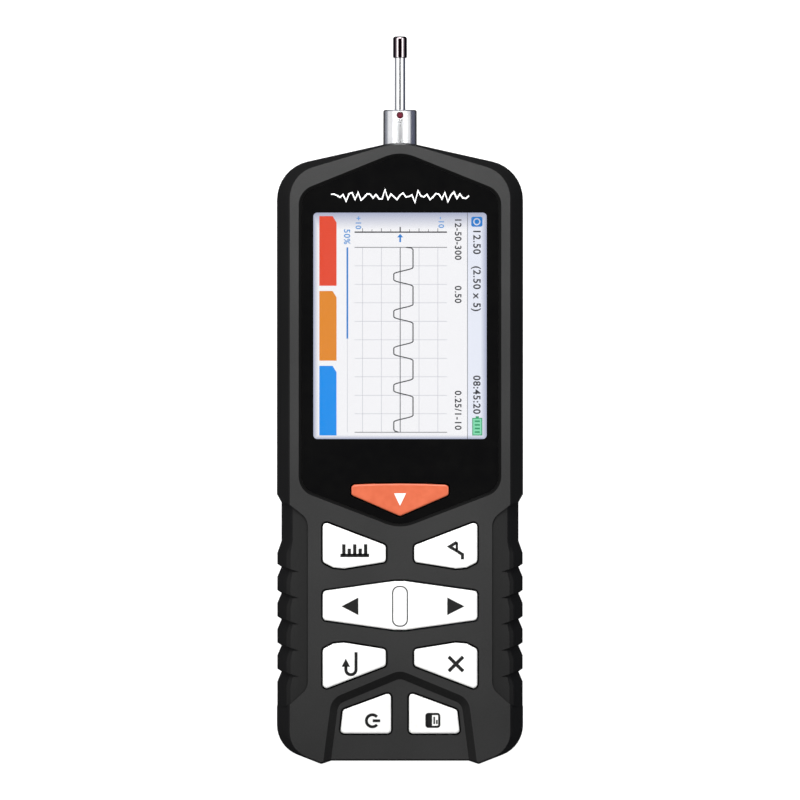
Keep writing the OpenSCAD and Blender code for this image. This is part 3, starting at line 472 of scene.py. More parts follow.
# %% [markdown]
# ## Smooth copies of the CAD pieces
#
# A CAD node arrives as loose triangles, which light up as facets on round metal. For each piece that
# can be seen, a copy is merged into one skin, shaded smooth, and creased only where two faces meet
# at a real angle. The normals that were loaded with it are dropped first, because they would hide
# some of those angles. Weighted normals then keep large flat faces flat beside small round ones.
#
# The mould's texture is etched only into the parts of the tool that can release it, so a copy can have a
# second finish for its steep flanks, with a shallower bump. Its darker tones and lower shine are painted
# shade, for the light that steep flanks catch less of than faces that look forward. The keys use it too:
# their steep walls and flange get a dark finish, painted shade for the gap round each key, which is why
# a thin dark line runs round each key.

# %% Skin helpers
WELD = 0.002 * MM
FLAT_DEGREES = 0.2
CREASE_DEGREES = 32


def result_mesh(thing):
    """New mesh of what an object's modifiers, or its text, make."""
    bpy.context.view_layer.update()
    graph = bpy.context.evaluated_depsgraph_get()
    return bpy.data.meshes.new_from_object(thing.evaluated_get(graph))


def evaluated(thing):
    """Replace an object's mesh by what its modifiers make of it, and drop the modifiers."""
    result = result_mesh(thing)
    thing.modifiers.clear()
    thing.data = result
    return thing


def new_piece(name, mesh, *finishes):
    """Object at the origin with its place in its mesh."""
    thing = bpy.data.objects.new(name, mesh)
    scene.collection.objects.link(thing)
    mesh.materials.clear()
    for material in finishes:
        mesh.materials.append(material)
    return thing


def merged(node):
    """Copy of a CAD node's mesh as one closed skin of flat faces, without its loaded normals."""
    skin = bmesh.new()
    skin.from_mesh(frame["nodes"][node].data)
    bmesh.ops.remove_doubles(skin, verts=skin.verts, dist=WELD)
    flat = math.radians(FLAT_DEGREES)
    bmesh.ops.dissolve_limit(skin, angle_limit=flat, verts=skin.verts, edges=skin.edges)
    mesh = bpy.data.meshes.new(node)
    skin.to_mesh(mesh)
    skin.free()
    mesh.attributes.remove(mesh.attributes["custom_normal"])
    return mesh


def smoothed(thing, crease=CREASE_DEGREES):
    """Shade smooth, with creases where faces meet at more than this angle."""
    thing.data.shade_smooth()
    thing.data.set_sharp_from_angle(angle=math.radians(crease))
    weigh = thing.modifiers.new("weigh", "WEIGHTED_NORMAL")
    weigh.keep_sharp = True
    return evaluated(thing)


print("skin helpers ready")

# %% Smooth copies
FACE_TILT = 22
SKIRT_TILT = 75
SKIRT_DEPTH = 1.2


def dressed(node, finish, flank=None, tilt=FACE_TILT, depth=math.inf):
    """Smooth copy of a CAD node in its finish, riding where the node rides.

    Faces that tilt more than this, or lie deeper than this below the top in mm, get the flank finish,
    whose darker tones are painted shade.
    """
    thing = new_piece(node + "_look", merged(node), finish)
    if flank:
        thing.data.materials.append(flank)
        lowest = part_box(node)[1].z - depth * MM
        for face in thing.data.polygons:
            seen = face.normal.z > math.cos(math.radians(tilt)) and face.center.z > lowest
            face.material_index = 0 if seen else 1
    smoothed(thing)
    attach(thing, frame["nodes"][node]["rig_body"])
    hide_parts(node)
    return thing


SEEN = {
    "rear_shell": back_plastic, "case_screws": plain_steel, "charging_socket": plain_steel,
    "pickup_holder": satin_steel, "stylus_tube": polished_steel, "nosepiece": dark_chrome,
    "stylus_arm": plain_steel, "stylus_tip": diamond,
}
GRIPS = ["left_grip", "right_grip"]
CAPS = {"start_key": start_plastic}
for white in ("scale", "parameter", "rocker", "enter", "escape", "power", "save"):
    CAPS[white + "_key"] = key_plastic

looks = [dressed(node, material) for node, material in SEEN.items()]
shell = dressed("front_shell", face_plastic, flank_painted_shade)
looks += [dressed(node, grip_rubber, grip_flank_painted_shade) for node in GRIPS]
looks += [dressed(node, cap, key_skirt_painted_shade, SKIRT_TILT, SKIRT_DEPTH) for node, cap in CAPS.items()]
print("smooth copies:", len(looks) + 1)

# %% [markdown]
# ## Seat of the window
#
# The window lies in a shallow seat. The slope round it is painted as black as the window itself, painted
# shade for the shadow in the seat, so the black runs on to the edge of the face. That needs no new mesh:
# the slope's faces are those near the window that look inwards, and they get a third finish on the
# shell's copy.

# %% Painted shade in the seat
SEAT_REACH = 1.5 * MM
SEAT_DEPTH = 2.0 * MM

window_low, window_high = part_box("window_panel")
window_middle = (window_low + window_high) / 2
seat_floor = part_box("front_shell")[1].z - SEAT_DEPTH


def is_seat(face):
    """True for a steep face of the shell that looks at the window's middle from close by."""
    place = face.center
    beside = (window_low.x - SEAT_REACH < place.x < window_high.x + SEAT_REACH
              and window_low.y - SEAT_REACH < place.y < window_high.y + SEAT_REACH)
    inwards = (place - window_middle).xy.dot(face.normal.xy) < 0
    return face.material_index == 1 and beside and inwards and place.z > seat_floor


shell.data.materials.append(seat_painted_shade)
shaded_seat_faces = [face for face in shell.data.polygons if is_seat(face)]
for face in shaded_seat_faces:
    face.material_index = 2
print("seat faces:", len(shaded_seat_faces))

# %% [markdown]
# ## Flat shapes
#
# Prints, the display's picture and the window's opening are all flat outlines with a little depth.
# A few helpers draw outlines in millimetres: an arc, a rounded box, and a ribbon that follows a line
# with a given width. One more turns outlines into thin closed slabs.

# %% Outline helpers
MITRE_LIMIT = 0.5


def arc(centre, radius, start, stop, steps=10):
    """Points along an arc, in degrees."""
    angles = [math.radians(start + (stop - start) * i / steps) for i in range(steps + 1)]
    return [(centre[0] + radius * math.cos(a), centre[1] + radius * math.sin(a)) for a in angles]


def rounded_box(low, high, radius, steps=6):
    """Outline of a box with round corners, anticlockwise."""
    x0, y0 = low[0] + radius, low[1] + radius
    x1, y1 = high[0] - radius, high[1] - radius
    turns = [((x1, y1), 0), ((x0, y1), 90), ((x0, y0), 180), ((x1, y0), 270)]
    return [p for centre, start in turns for p in arc(centre, radius, start, start + 90, steps)]


def ribbon(points, width):
    """Outline of a line of this width through the points."""
    left, right = [], []
    for i, point in enumerate(points):
        here = Vector(point)
        before = Vector(points[max(i - 1, 0)])
        after = Vector(points[min(i + 1, len(points) - 1)])
        arrive = (here - before).normalized() if i else (after - here).normalized()
        leave = (after - here).normalized() if i < len(points) - 1 else arrive
        side = Vector((-arrive.y - leave.y, arrive.x + leave.x)).normalized()
        reach = width / 2 / max(side.dot(Vector((-arrive.y, arrive.x))), MITRE_LIMIT)
        left.append(here + side * reach)
        right.append(here - side * reach)
    return [tuple(p) for p in right + left[::-1]]


def moved(points, dx, dy):
    """The same points, this far along X and Y."""
    return [(x + dx, y + dy) for x, y in points]


def slabs(name, outlines, bottom, thickness, material):
    """Thin closed slabs on these outlines. All sizes are in mm."""
    solid = bmesh.new()
    for outline in outlines:
        lower = [solid.verts.new((x * MM, y * MM, bottom * MM)) for x, y in outline]
        face = solid.faces.new(lower)
        grown = bmesh.ops.extrude_face_region(solid, geom=[face])
        raised = [v for v in grown["geom"] if isinstance(v, bmesh.types.BMVert)]
        bmesh.ops.translate(solid, verts=raised, vec=(0, 0, thickness * MM))
    bmesh.ops.recalc_face_normals(solid, faces=solid.faces)
    mesh = bpy.data.meshes.new(name)
    solid.to_mesh(mesh)
    solid.free()
    return new_piece(name, mesh, material)


print("outline helpers ready")

# %% [markdown]
# ## Window
#
# The window is a black acrylic plate with a clear place over the display. On the real one the black
# is printed on the back of a clear sheet. Here the CAD plate is copied, its rim is eased with a small
# bevel, a Boolean cuts the picture's opening, and a clear pane of the same thickness fills it flush.

# %% Window plate
MODULE_BORDER = 1.6
MODULE_FOOT = 3.0
CORNER_RADIUS = 1.0
OPENING_LIP = 0.35
CUT_PAST = 1.0
WINDOW_EDGE = 0.05
EDGE_DEGREES = 60

module_low, module_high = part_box("display_module")
picture_low = (module_low.x / MM + MODULE_BORDER, module_low.y / MM + MODULE_BORDER + MODULE_FOOT)
picture_high = (module_high.x / MM - MODULE_BORDER, module_high.y / MM - MODULE_BORDER)
window_floor = window_low.z / MM
window_top = window_high.z / MM
opening_low = (picture_low[0], picture_low[1] + OPENING_LIP)
opening_high = (picture_high[0], picture_high[1] - OPENING_LIP)
opening = rounded_box(opening_low, opening_high, CORNER_RADIUS)
window_thick = window_top - window_floor

cutter = slabs("cutter", [opening], window_floor - CUT_PAST, window_thick + 2 * CUT_PAST, window_black)
plate = new_piece("window_plate", merged("window_panel"), window_black)
rim = plate.modifiers.new("rim", "BEVEL")
rim.width = WINDOW_EDGE * MM
rim.segments = 3
rim.limit_method = "ANGLE"
rim.angle_limit = math.radians(EDGE_DEGREES)
cut = plate.modifiers.new("opening", "BOOLEAN")
cut.operation = "DIFFERENCE"
cut.object = cutter
evaluated(plate)
bpy.data.objects.remove(cutter)
smoothed(plate)
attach(plate, "housing")
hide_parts("window_panel")
print("picture in mm:", [round(high - low, 1) for low, high in zip(picture_low, picture_high)])

# %% Clear pane
HAZE_MM = 8
HAZE = 0.03
ACRYLIC_IOR = 1.45

clear_acrylic, clear_tree, clear_shader = blank("clear_acrylic")
clear_place = wire(clear_tree, "TexCoord").outputs["Object"]
smear = between(clear_tree, noise(clear_tree, clear_place, HAZE_MM), 0.0, 1.0, 0.0, HAZE)
clear_tree.links.new(smear, clear_shader.inputs["Roughness"])
set_shader(clear_shader, {"Transmission Weight": 1.0, "IOR": ACRYLIC_IOR, "Base Color": grey(1.0)})

pane = slabs("clear_pane", [opening], window_floor, window_thick, clear_acrylic)
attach(pane, "housing")
print("pane thickness in mm:", round(window_thick, 2))

# %% [markdown]
# ## Glare
#
# Seen at a slant, a glossy window mirrors the softboxes and hides the display behind white glare. On a
# set, a polarising filter takes such glare away. Here light linking does it: the window and its pane
# are listed as receivers that the softboxes leave out, and only mirror the soft dome.

# %% No glare on the window
glare_free = bpy.data.collections.new("glare_free")
for thing in (plate, pane):
    glare_free.objects.link(thing)
for entry in glare_free.collection_objects:
    entry.light_linking.link_state = "EXCLUDE"
for lamp in softboxes:
    lamp.light_linking.receiver_collection = glare_free

# %% [markdown]
# ## Light of the display
#
# The display glows by itself, so its colours are emission and hardly depend on the studio light.
# A fine lattice of two Wave textures stands for the pixels. The ground darkens to lavender along its
# rim, where the window's edge shades it, and furthest in from the stylus end. For that, a few Math
# nodes measure how far each point lies inside the opening.

# %% Lit finishes
PIXEL_MM = 0.18
PIXEL_DIP = 0.9
PIXEL_EDGE = 0.4
DISPLAY_BASE = 0.02
DISPLAY_ROUGHNESS = 0.5
# Width of the shaded rim in mm, at the low and the high end of each axis
RIM_MM = {"X": (1.3, 1.5), "Y": (1.0, 4.2)}


def lattice(tree, place):
    """Number near 1 that dips between the pixels of the display."""
    rows = [wire(tree, "TexWave", {"bands_direction": way}, Vector=place,
                 Scale=BAND / (PIXEL_MM * MM)).outputs["Fac"] for way in "XY"]
    return maths(tree, "MULTIPLY", *rows)


def glowing(tree, shader, colour):
    """Let a dark shader give off this colour."""
    tree.links.new(colour, shader.inputs["Emission Color"])
    set_shader(shader, {"Base Color": grey(DISPLAY_BASE), "Emission Strength": 1.0,
                        "Roughness": DISPLAY_ROUGHNESS})


def lit(name, code):
    """Glowing colour with a faint pixel lattice."""
    material, tree, shader = blank(name)
    place = wire(tree, "TexCoord").outputs["Object"]
    bright = tone(code)
    dim = [share * PIXEL_DIP for share in bright[:3]] + [1.0]
    glowing(tree, shader, ramp(tree, lattice(tree, place), [(0.0, dim), (PIXEL_EDGE, bright)]))
    return material


def lit_ground(name, middle, rim):
    """Glowing ground that goes from one colour in the middle to another along the opening's rim."""
    material, tree, shader = blank(name)
    place = wire(tree, "TexCoord").outputs["Object"]
    split = wire(tree, "SeparateXYZ", Vector=place).outputs
    share = 1.0
    for axis, low, high in zip("XY", opening_low, opening_high):
        from_low = maths(tree, "SUBTRACT", split[axis], low * MM)
        from_high = maths(tree, "SUBTRACT", high * MM, split[axis])
        for depth, width in zip((from_low, from_high), RIM_MM[axis]):
            share = maths(tree, "MINIMUM", share, maths(tree, "DIVIDE", depth, width * MM))
    glowing(tree, shader, ramp(tree, share, [(0.0, rim), (1.0, middle)]))
    return material


RIM_TONE = "acb2cb"
paper_light = lit_ground("paper_light", "f9f9fc", RIM_TONE)
bar_light = lit_ground("bar_light", "ecf0fc", RIM_TONE)
line_light = lit("line_light", "cfd0d8")
axis_light = lit("axis_light", "6b6c72")
trace_light = lit("trace_light", "3a3b40")
blue_light = lit("blue_light", "2f83d6")
pale_light = lit("pale_light", "639fe0")
red_light = lit("red_light", "ee4c30")
orange_light = lit("orange_light", "ec8f2a")
sky_light = lit("sky_light", "1795f6")
green_light = lit("green_light", "8ce6ba")
leaf_light = lit("leaf_light", "35a06c")
print("lit finishes ready")

# %% [markdown]
# ## The picture
#
# The display is a landscape panel turned a quarter turn, so its picture reads from the top of the
# instrument down. Places on it are therefore given along (from the stylus end down) and up (from
# left to right). The picture is a generic measuring screen: three soft keys, a grid with a trace, a
# scale with a pointer, a progress line and a status bar with plain numbers.

# %% Places on the picture
GLASS_STEP = 0.15
PICTURE_LIFT = 0.02
LAYER = 0.015
SHAPE_THICK = LAYER * 0.8
picture_z = module_high.z / MM - GLASS_STEP + PICTURE_LIFT
picture_wide = picture_high[1] - picture_low[1]
picture_tall = picture_high[0] - picture_low[0]


def on_screen(points):
    """Turn places on the picture into places on the instrument, in mm."""
    return [(picture_low[0] + up, picture_high[1] - along) for along, up in points]


def on_display(thing):
    """Let a piece ride on the housing as part of the display."""
    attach(thing, "housing")
    return thing


def show(name, outlines, layer, material):
    """Shapes of the picture as a piece on the display, on this layer."""
    shapes = [on_screen(outline) for outline in outlines]
    return on_display(slabs(name, shapes, picture_z + layer * LAYER, SHAPE_THICK, material))


def box(along, up, wide, tall):
    """Outline of a box on the picture, from its lower left corner."""
    return [(along, up), (along + wide, up), (along + wide, up + tall), (along, up + tall)]


print("picture size in mm:", round(picture_wide, 1), "x", round(picture_tall, 1))

# %% Ground and soft keys
BAR_UP = 38.5
SOFT_KEY = {"up": 1.5, "tall": 4.3, "wide": 17.4, "step": 18.7, "first": 1.2}
SOFT_KEY_CUT = (1.6, 1.0)
SOFT_KEY_LIGHTS = [red_light, orange_light, sky_light]


def soft_key(index):
    """Outline of a soft key with one corner cut off."""
    along = SOFT_KEY["first"] + index * SOFT_KEY["step"]
    top = SOFT_KEY["up"] + SOFT_KEY["tall"]
    end = along + SOFT_KEY["wide"]
    return [(along, SOFT_KEY["up"]), (end, SOFT_KEY["up"]), (end, top),
            (along + SOFT_KEY_CUT[0], top), (along, top - SOFT_KEY_CUT[1])]


show("screen_ground", [box(0, 0, picture_wide, picture_tall)], 0, paper_light)
show("screen_bar", [box(0, BAR_UP, picture_wide, picture_tall - BAR_UP)], 1, bar_light)
for index, material in enumerate(SOFT_KEY_LIGHTS):
    show(f"soft_key_{index + 1}", [soft_key(index)], 1, material)
print("soft keys:", len(SOFT_KEY_LIGHTS))

# %% [markdown]
# ## Rows of bars with Geometry Nodes
#
# The grid, the scale's ticks and the ruler print on a key are all rows of equal bars. One node tree
# makes any such row: a Mesh Line gives the places, a box is set on each, and the row is realised so
# that it exports as a plain mesh. Count, first place, step, bar size and finish are its inputs.

# %% Tree helpers
def new_tree(name, inputs):
    """Empty Geometry Nodes tree with named inputs and one geometry output."""
    tree = bpy.data.node_groups.new(name, "GeometryNodeTree")
    tree.interface.new_socket("Geometry", in_out="OUTPUT", socket_type="NodeSocketGeometry")
    for label, kind in inputs.items():
        tree.interface.new_socket(label, in_out="INPUT", socket_type="NodeSocket" + kind)
    given = tree.nodes.new("NodeGroupInput").outputs
    return tree, given


def geo(tree, kind, options=None, **inputs):
    """Make a geometry node in the same way as a shader node."""
    return add_node(tree, "GeometryNode" + kind, options, inputs)


def close_tree(tree, geometry, finish):
    """End a tree: realise its instances, give them their finish and send them out."""
    real = geo(tree, "RealizeInstances", Geometry=geometry)
    painted = geo(tree, "SetMaterial", Geometry=real.outputs["Geometry"], Material=finish)
    tree.links.new(painted.outputs["Geometry"], tree.nodes.new("NodeGroupOutput").inputs["Geometry"])


def grow(name, tree, values):
    """Run a tree once and keep its result as a plain mesh."""
    thing = new_piece(name, bpy.data.meshes.new(name))
    modifier = thing.modifiers.new(tree.name, "NODES")
    modifier.node_group = tree
    for item in tree.interface.items_tree:
        if item.in_out == "INPUT":
            modifier[item.identifier] = values[item.name]
    return evaluated(thing)


print("tree helpers ready")

# %% Row tree
row_tree, row_in = new_tree("row_of_bars", {"Count": "Int", "First": "Vector", "Step": "Vector",
                                            "Bar": "Vector", "Finish": "Material"})
row_line = geo(row_tree, "MeshLine", {"mode": "OFFSET"}, Count=row_in["Count"],
               Start_Location=row_in["First"], Offset=row_in["Step"])
row_bar = geo(row_tree, "MeshCube", Size=row_in["Bar"])
row_set = geo(row_tree, "InstanceOnPoints", Points=row_line.outputs["Mesh"],
              Instance=row_bar.outputs["Mesh"])
close_tree(row_tree, row_set.outputs["Instances"], row_in["Finish"])


def row(name, count, first, step, bar, material):
    """Row of bars in mm: how many, the first one's middle, the step and the bar's size."""
    values = {"Count": count, "First": Vector(first) * MM, "Step": Vector(step) * MM,
              "Bar": Vector(bar) * MM, "Finish": material}
    return grow(name, row_tree, values)


print("row tree nodes:", len(row_tree.nodes))

# %% [markdown]
# ## Grid, scale and trace
#
# The grid is eleven lines across and five along. The trace rises and falls between two plateaus, one
# wave to every second grid line, like the profile of a grooved reference plate. Its corners are
# rounded by drawing the flanks as half waves of a cosine.

# %% Grid
GRID_FIRST = 9.0
GRID_STEP = 4.62
GRID_LINES = 11
GRID_LOW = 10.3
GRID_HIGH = 33.4
LANE_FIRST = 12.3
LANE_STEP = 4.7
LANES = 5
HAIR = 0.13
LINE = 0.22
END_LINE = LINE * 0.8


def screen_row(name, count, first, step, bar, layer, material):
    """Row of bars on the picture. First and step are along and up, and so is the bar's size."""
    (x, y), = on_screen([first])
    place = (x, y, picture_z + layer * LAYER)
    turned_step = (step[1], -step[0], 0)
    turned_bar = (bar[1], bar[0], SHAPE_THICK)
    return on_display(row(name, count, place, turned_step, turned_bar, material))


grid_end = GRID_FIRST + GRID_STEP * (GRID_LINES - 1)
grid_wide = grid_end - GRID_FIRST
grid_tall = GRID_HIGH - GRID_LOW
grid_middle = (GRID_FIRST + grid_end) / 2
lane_middle = (GRID_LOW + GRID_HIGH) / 2
zero_line = LANE_FIRST + LANE_STEP * (LANES // 2)
screen_row("grid_across", GRID_LINES - 2, (GRID_FIRST + GRID_STEP, lane_middle), (GRID_STEP, 0),
           (HAIR, grid_tall), 1.5, line_light)
screen_row("grid_along", LANES, (grid_middle, LANE_FIRST), (0, LANE_STEP), (grid_wide, HAIR), 1.5,
           line_light)
screen_row("grid_ends", 2, (GRID_FIRST, lane_middle), (grid_wide, 0), (END_LINE, grid_tall), 2.5,
           axis_light)
screen_row("grid_zero", 1, (grid_middle, zero_line), (0, 0), (grid_wide, LINE), 3.5, axis_light)
print("grid from", GRID_FIRST, "to", round(grid_end, 1))

# %% Trace and progress
TRACE_LOW = 20.1
TRACE_HIGH = 24.9
FIRST_FALL = 5.0
FLANK = 1.7
VALLEY = 1.4
TRACE_LINE = 0.28


def flank_points(along, start, stop, steps=8):
    """Flank of the trace that eases from one level to another."""
    points = []
    for i in range(steps + 1):
        share = i / steps
        eased = (1 - math.cos(math.pi * share)) / 2
        points.append((along + FLANK * share, start + (stop - start) * eased))
    return points


def trace_points():
    """Plateaus and valleys joined by flanks, one wave to every second grid line."""
    head = [(0, zero_line + 1.5), (0.15, TRACE_HIGH - 0.4), (0.6, TRACE_HIGH)]
    tail = [(-0.7, TRACE_LOW), (-0.3, TRACE_LOW + 0.3), (0, TRACE_LOW + 1.2)]
    points = moved(head, GRID_FIRST, 0)
    falls = [GRID_FIRST + FIRST_FALL + 2 * GRID_STEP * i for i in range((GRID_LINES - 1) // 2)]
    for fall in falls:
        points += flank_points(fall, TRACE_HIGH, TRACE_LOW)
        if fall != falls[-1]:
            points += flank_points(fall + FLANK + VALLEY, TRACE_LOW, TRACE_HIGH)
    return points + moved(tail, grid_end, 0)


PROGRESS_UP = 8.5
PROGRESS_END = 31.8
TRACK_LINE = 0.12
PROGRESS_LINE = 0.42
trace = trace_points()
track = [(PROGRESS_END, PROGRESS_UP), (grid_end, PROGRESS_UP)]
progress = [(GRID_FIRST, PROGRESS_UP), (PROGRESS_END, PROGRESS_UP)]
show("screen_trace", [ribbon(trace, TRACE_LINE)], 4.5, trace_light)
show("progress_track", [ribbon(track, TRACK_LINE)], 1.5, line_light)
show("progress_line", [ribbon(progress, PROGRESS_LINE)], 2.5, blue_light)
print("trace points:", len(trace))

# %% Scale with its pointer
SCALE_ALONG = 5.2
TICKS = 9
TICK_STEP = LANE_STEP / 2
AXIS_LINE = 0.34
# Each mark: its middle before the axis, then its length and width
TICK = (0.4, (0.6, 0.13))
MARK = (0.5, (0.9, 0.15))
ZERO_MARK = (0.6, (1.4, 0.3))
POINTER = [(5.6, 0), (6.5, -0.75), (6.5, -0.22), (7.7, -0.22), (7.7, 0.22), (6.5, 0.22), (6.5, 0.75)]

tick_first = zero_line - TICK_STEP * (TICKS // 2)


def scale_marks(name, count, first, step, mark, layer):
    """Row of equal marks along the scale, from this place up."""
    before, size = mark
    screen_row(name, count, (SCALE_ALONG - before, first), (0, step), size, layer, trace_light)


screen_row("scale_axis", 1, (SCALE_ALONG, lane_middle), (0, 0), (AXIS_LINE, grid_tall), 1.5, trace_light)
scale_marks("scale_ticks", TICKS, tick_first, TICK_STEP, TICK, 1.5)
scale_marks("scale_marks", LANES, LANE_FIRST, LANE_STEP, MARK, 2.5)
scale_marks("scale_zero", 1, zero_line, 0, ZERO_MARK, 3.5)
show("scale_pointer", [moved(POINTER, 0, zero_line)], 1.5, blue_light)
print("ticks:", TICKS)

# %% [markdown]
# ## Numbers and small signs
#
# The status bar and the scale carry plain numbers. A text object is set in Blender's own font, made
# a mesh, and only then turned onto the display, so that its place ends up in its mesh. A battery
# sign and a plain blue badge fill the ends of the bar.

# %% Numbers
BOLD = 0.03
SPACING = 1.12
DIGIT_SHARE = 0.7


def number(name, text, along, up, tall, layer, material):
    """Plain number on the picture, from its lower left corner, with digits this tall in mm."""
    words = bpy.data.curves.new(name, "FONT")
    words.body = text
    words.size = tall * MM / DIGIT_SHARE
    words.offset = tall * MM * BOLD
    words.space_character = SPACING
    thing = bpy.data.objects.new(name, words)
    scene.collection.objects.link(thing)
    mesh = result_mesh(thing)
    bpy.data.objects.remove(thing)
    (x, y), = on_screen([(along, up)])
    quarter_turn = Matrix.Rotation(math.radians(-90), 4, "Z")
    mesh.transform(Matrix.Translation(Vector((x, y, picture_z + layer * LAYER)) * MM) @ quarter_turn)
    return on_display(new_piece(name, mesh, material))


# Each number: its text, place along and up, height of its digits, layer and finish
NUMBERS = {
    "bar_length": ("12.50", 4.4, 40.0, 1.8, 2.5, trace_light),
    "bar_cutoff": ("(2.50 x 5)", 13.6, 40.0, 1.8, 2.5, trace_light),
    "bar_clock": ("08:45:20", 41.0, 40.0, 1.75, 2.5, trace_light),
    "line_filter": ("12-50-300", 1.6, 35.4, 1.6, 1.5, trace_light),
    "line_speed": ("0.50", 18.6, 35.4, 1.6, 1.5, trace_light),
    "line_step": ("0.25/1-10", 44.8, 35.4, 1.6, 1.5, trace_light),
    "scale_low": ("+10", 1.2, 10.6, 1.35, 1.5, pale_light),
    "scale_high": ("-10", 1.4, 31.3, 1.35, 1.5, pale_light),
    "progress_share": ("50%", 4.4, 7.7, 1.5, 1.5, pale_light),
}
for name, settings in NUMBERS.items():
    number(name, *settings)
print("numbers:", len(NUMBERS))

# %% Battery sign, bar line and badge
BATTERY = (51.6, 39.7)
BATTERY_SIZE = (4.4, 2.5)
BATTERY_RIM = 0.22
BATTERY_POLE = (0.5, 0.8)
POLE_REACH = 0.4
CELLS = 4
CELL = (0.4, 1.3)
CELL_FIRST = 0.85
CELL_STEP = 0.9
BAR_LINE = 0.14
BADGE = (2.6, 40.85)
BADGE_SIZE = (2.5, 2.8)
BADGE_CORNER = 0.5
RING_RADIUS = 0.75
RING_LINE = 0.3

battery_middle = BATTERY[1] + BATTERY_SIZE[1] / 2
battery_pole = box(BATTERY[0] - POLE_REACH, battery_middle - BATTERY_POLE[1] / 2, *BATTERY_POLE)
charge_size = [size - 2 * BATTERY_RIM for size in BATTERY_SIZE]
charge = box(BATTERY[0] + BATTERY_RIM, BATTERY[1] + BATTERY_RIM, *charge_size)
show("battery_case", [box(*BATTERY, *BATTERY_SIZE), battery_pole], 2.5, leaf_light)
show("battery_charge", [charge], 3.5, green_light)
screen_row("battery_cells", CELLS, (BATTERY[0] + CELL_FIRST, battery_middle), (CELL_STEP, 0), CELL, 4.5,
           leaf_light)
show("bar_edge", [ribbon([(0, BAR_UP), (picture_wide, BAR_UP)], BAR_LINE)], 2.5, axis_light)

badge_low = [middle - size / 2 for middle, size in zip(BADGE, BADGE_SIZE)]
badge_high = [middle + size / 2 for middle, size in zip(BADGE, BADGE_SIZE)]
half_rings = [arc(BADGE, RING_RADIUS, start, start + 180, 12) for start in (0, 180)]
show("bar_badge", [rounded_box(badge_low, badge_high, BADGE_CORNER)], 2.5, blue_light)
show("badge_ring", [ribbon(half, RING_LINE) for half in half_rings], 3.5, bar_light)
print("battery cells:", CELLS)

# %% [markdown]
# ## Prints on the keys
#
# Each key carries a small sign, screen-printed on its top, dark on the white keys and white on the
# start key. Prints are thin slabs that sink a little into the key, and each rides on its key's body,
# so it goes down with the key. The signs are common ones: a ruler, arrows, a return hook, the sign for
# a surface finish, a cross, the power sign and a memory card. Most are drawn round their own middle and
# then moved to their key.

# %% Print helper and ruler
INK = 0.03
SINK = 0.01


def print_on(node, name, outlines, material=dark_ink):
    """Printed sign on top of a key."""
    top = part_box(node)[1].z / MM
    thing = slabs(name, outlines, top - SINK, INK, material)
    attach(thing, frame["nodes"][node]["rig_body"])
    return thing


def print_row(node, name, count, first, step, size, material=dark_ink):
    """Printed row of bars on top of a key, by the middle of its first bar."""
    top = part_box(node)[1].z / MM
    bars = row(name, count, (*first, top - SINK + INK / 2), (*step, 0), (*size, INK), material)
    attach(bars, frame["nodes"][node]["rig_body"])
    return bars


RULER_X = -11.3
RULER_Y = -38.8
RULER_STEP = 1.36
RULER_WIDE = 7.2
RULER_LONG = 2.8
RULER_SHORT = 1.7
STROKE = 0.85
print_row("scale_key", "ruler_base", 1, (RULER_X, RULER_Y), (0, 0), (RULER_WIDE, STROKE))
print_row("scale_key", "ruler_long", 3, (RULER_X - 2 * RULER_STEP, RULER_Y + RULER_LONG / 2),
          (2 * RULER_STEP, 0), (STROKE, RULER_LONG))
print_row("scale_key", "ruler_short", 2, (RULER_X - RULER_STEP, RULER_Y + RULER_SHORT / 2),
          (2 * RULER_STEP, 0), (STROKE, RULER_SHORT))
print("ruler printed")

# %% Arrows and pill
ROCKER_Y = -51.5
ARROW_HALF = 2.2
# Each arrow: its tip and its base along X
LEFT_ARROW = (-14.6, -10.4)
RIGHT_ARROW = (16.1, 11.8)
PILL_HALF = (1.84, 4.95)
PILL_CORNER = 1.6
PILL_LINE = 0.32


def arrow(tip, base):
    """Triangle on the rocker key between its tip and its base."""
    return [(tip, ROCKER_Y), (base, ROCKER_Y - ARROW_HALF), (base, ROCKER_Y + ARROW_HALF)]


print_on("rocker_key", "rocker_arrows", [arrow(*LEFT_ARROW), arrow(*RIGHT_ARROW)])
upright = rounded_box((-PILL_HALF[0], -PILL_HALF[1]), PILL_HALF, PILL_CORNER)
pill = moved(upright, 0, ROCKER_Y)
half_way = len(pill) // 2
pill_halves = [pill[:half_way + 1], pill[half_way:] + pill[:1]]
print_on("rocker_key", "rocker_pill", [ribbon(half, PILL_LINE) for half in pill_halves], grey_ink)
print("points of the pill:", len(pill))

# %% Return hook, finish sign and cross
HOOK = (-12.25, -67.3)
HOOK_R = 1.27
HOOK_LINE = STROKE * 0.9
hook_line = [(HOOK_R, 4.35)] + arc((0, 0), HOOK_R, 0, -180, 14) + [(-HOOK_R, 0.9)]
hook_head = [(-HOOK_R, 2.75), (-HOOK_R - 1.05, 0.7), (-HOOK_R + 1.05, 0.7)]
hook_shapes = [ribbon(hook_line, HOOK_LINE), hook_head]
print_on("enter_key", "return_hook", [moved(shape, *HOOK) for shape in hook_shapes])

FINISH_SIGN = (14.0, -37.6)
FINISH_LINE = STROKE * 0.9
FINISH_BAR = STROKE * 0.7
tick_line = [(0.2, 2.1), (-1.6, 1.0), (1.6, -0.95), (1.6, -2.2)]
tick_bar = [(0.2, 2.1), (0.2, -0.1)]
finish_lines = [ribbon(tick_line, FINISH_LINE), ribbon(tick_bar, FINISH_BAR)]
print_on("parameter_key", "finish_sign", [moved(line, *FINISH_SIGN) for line in finish_lines])

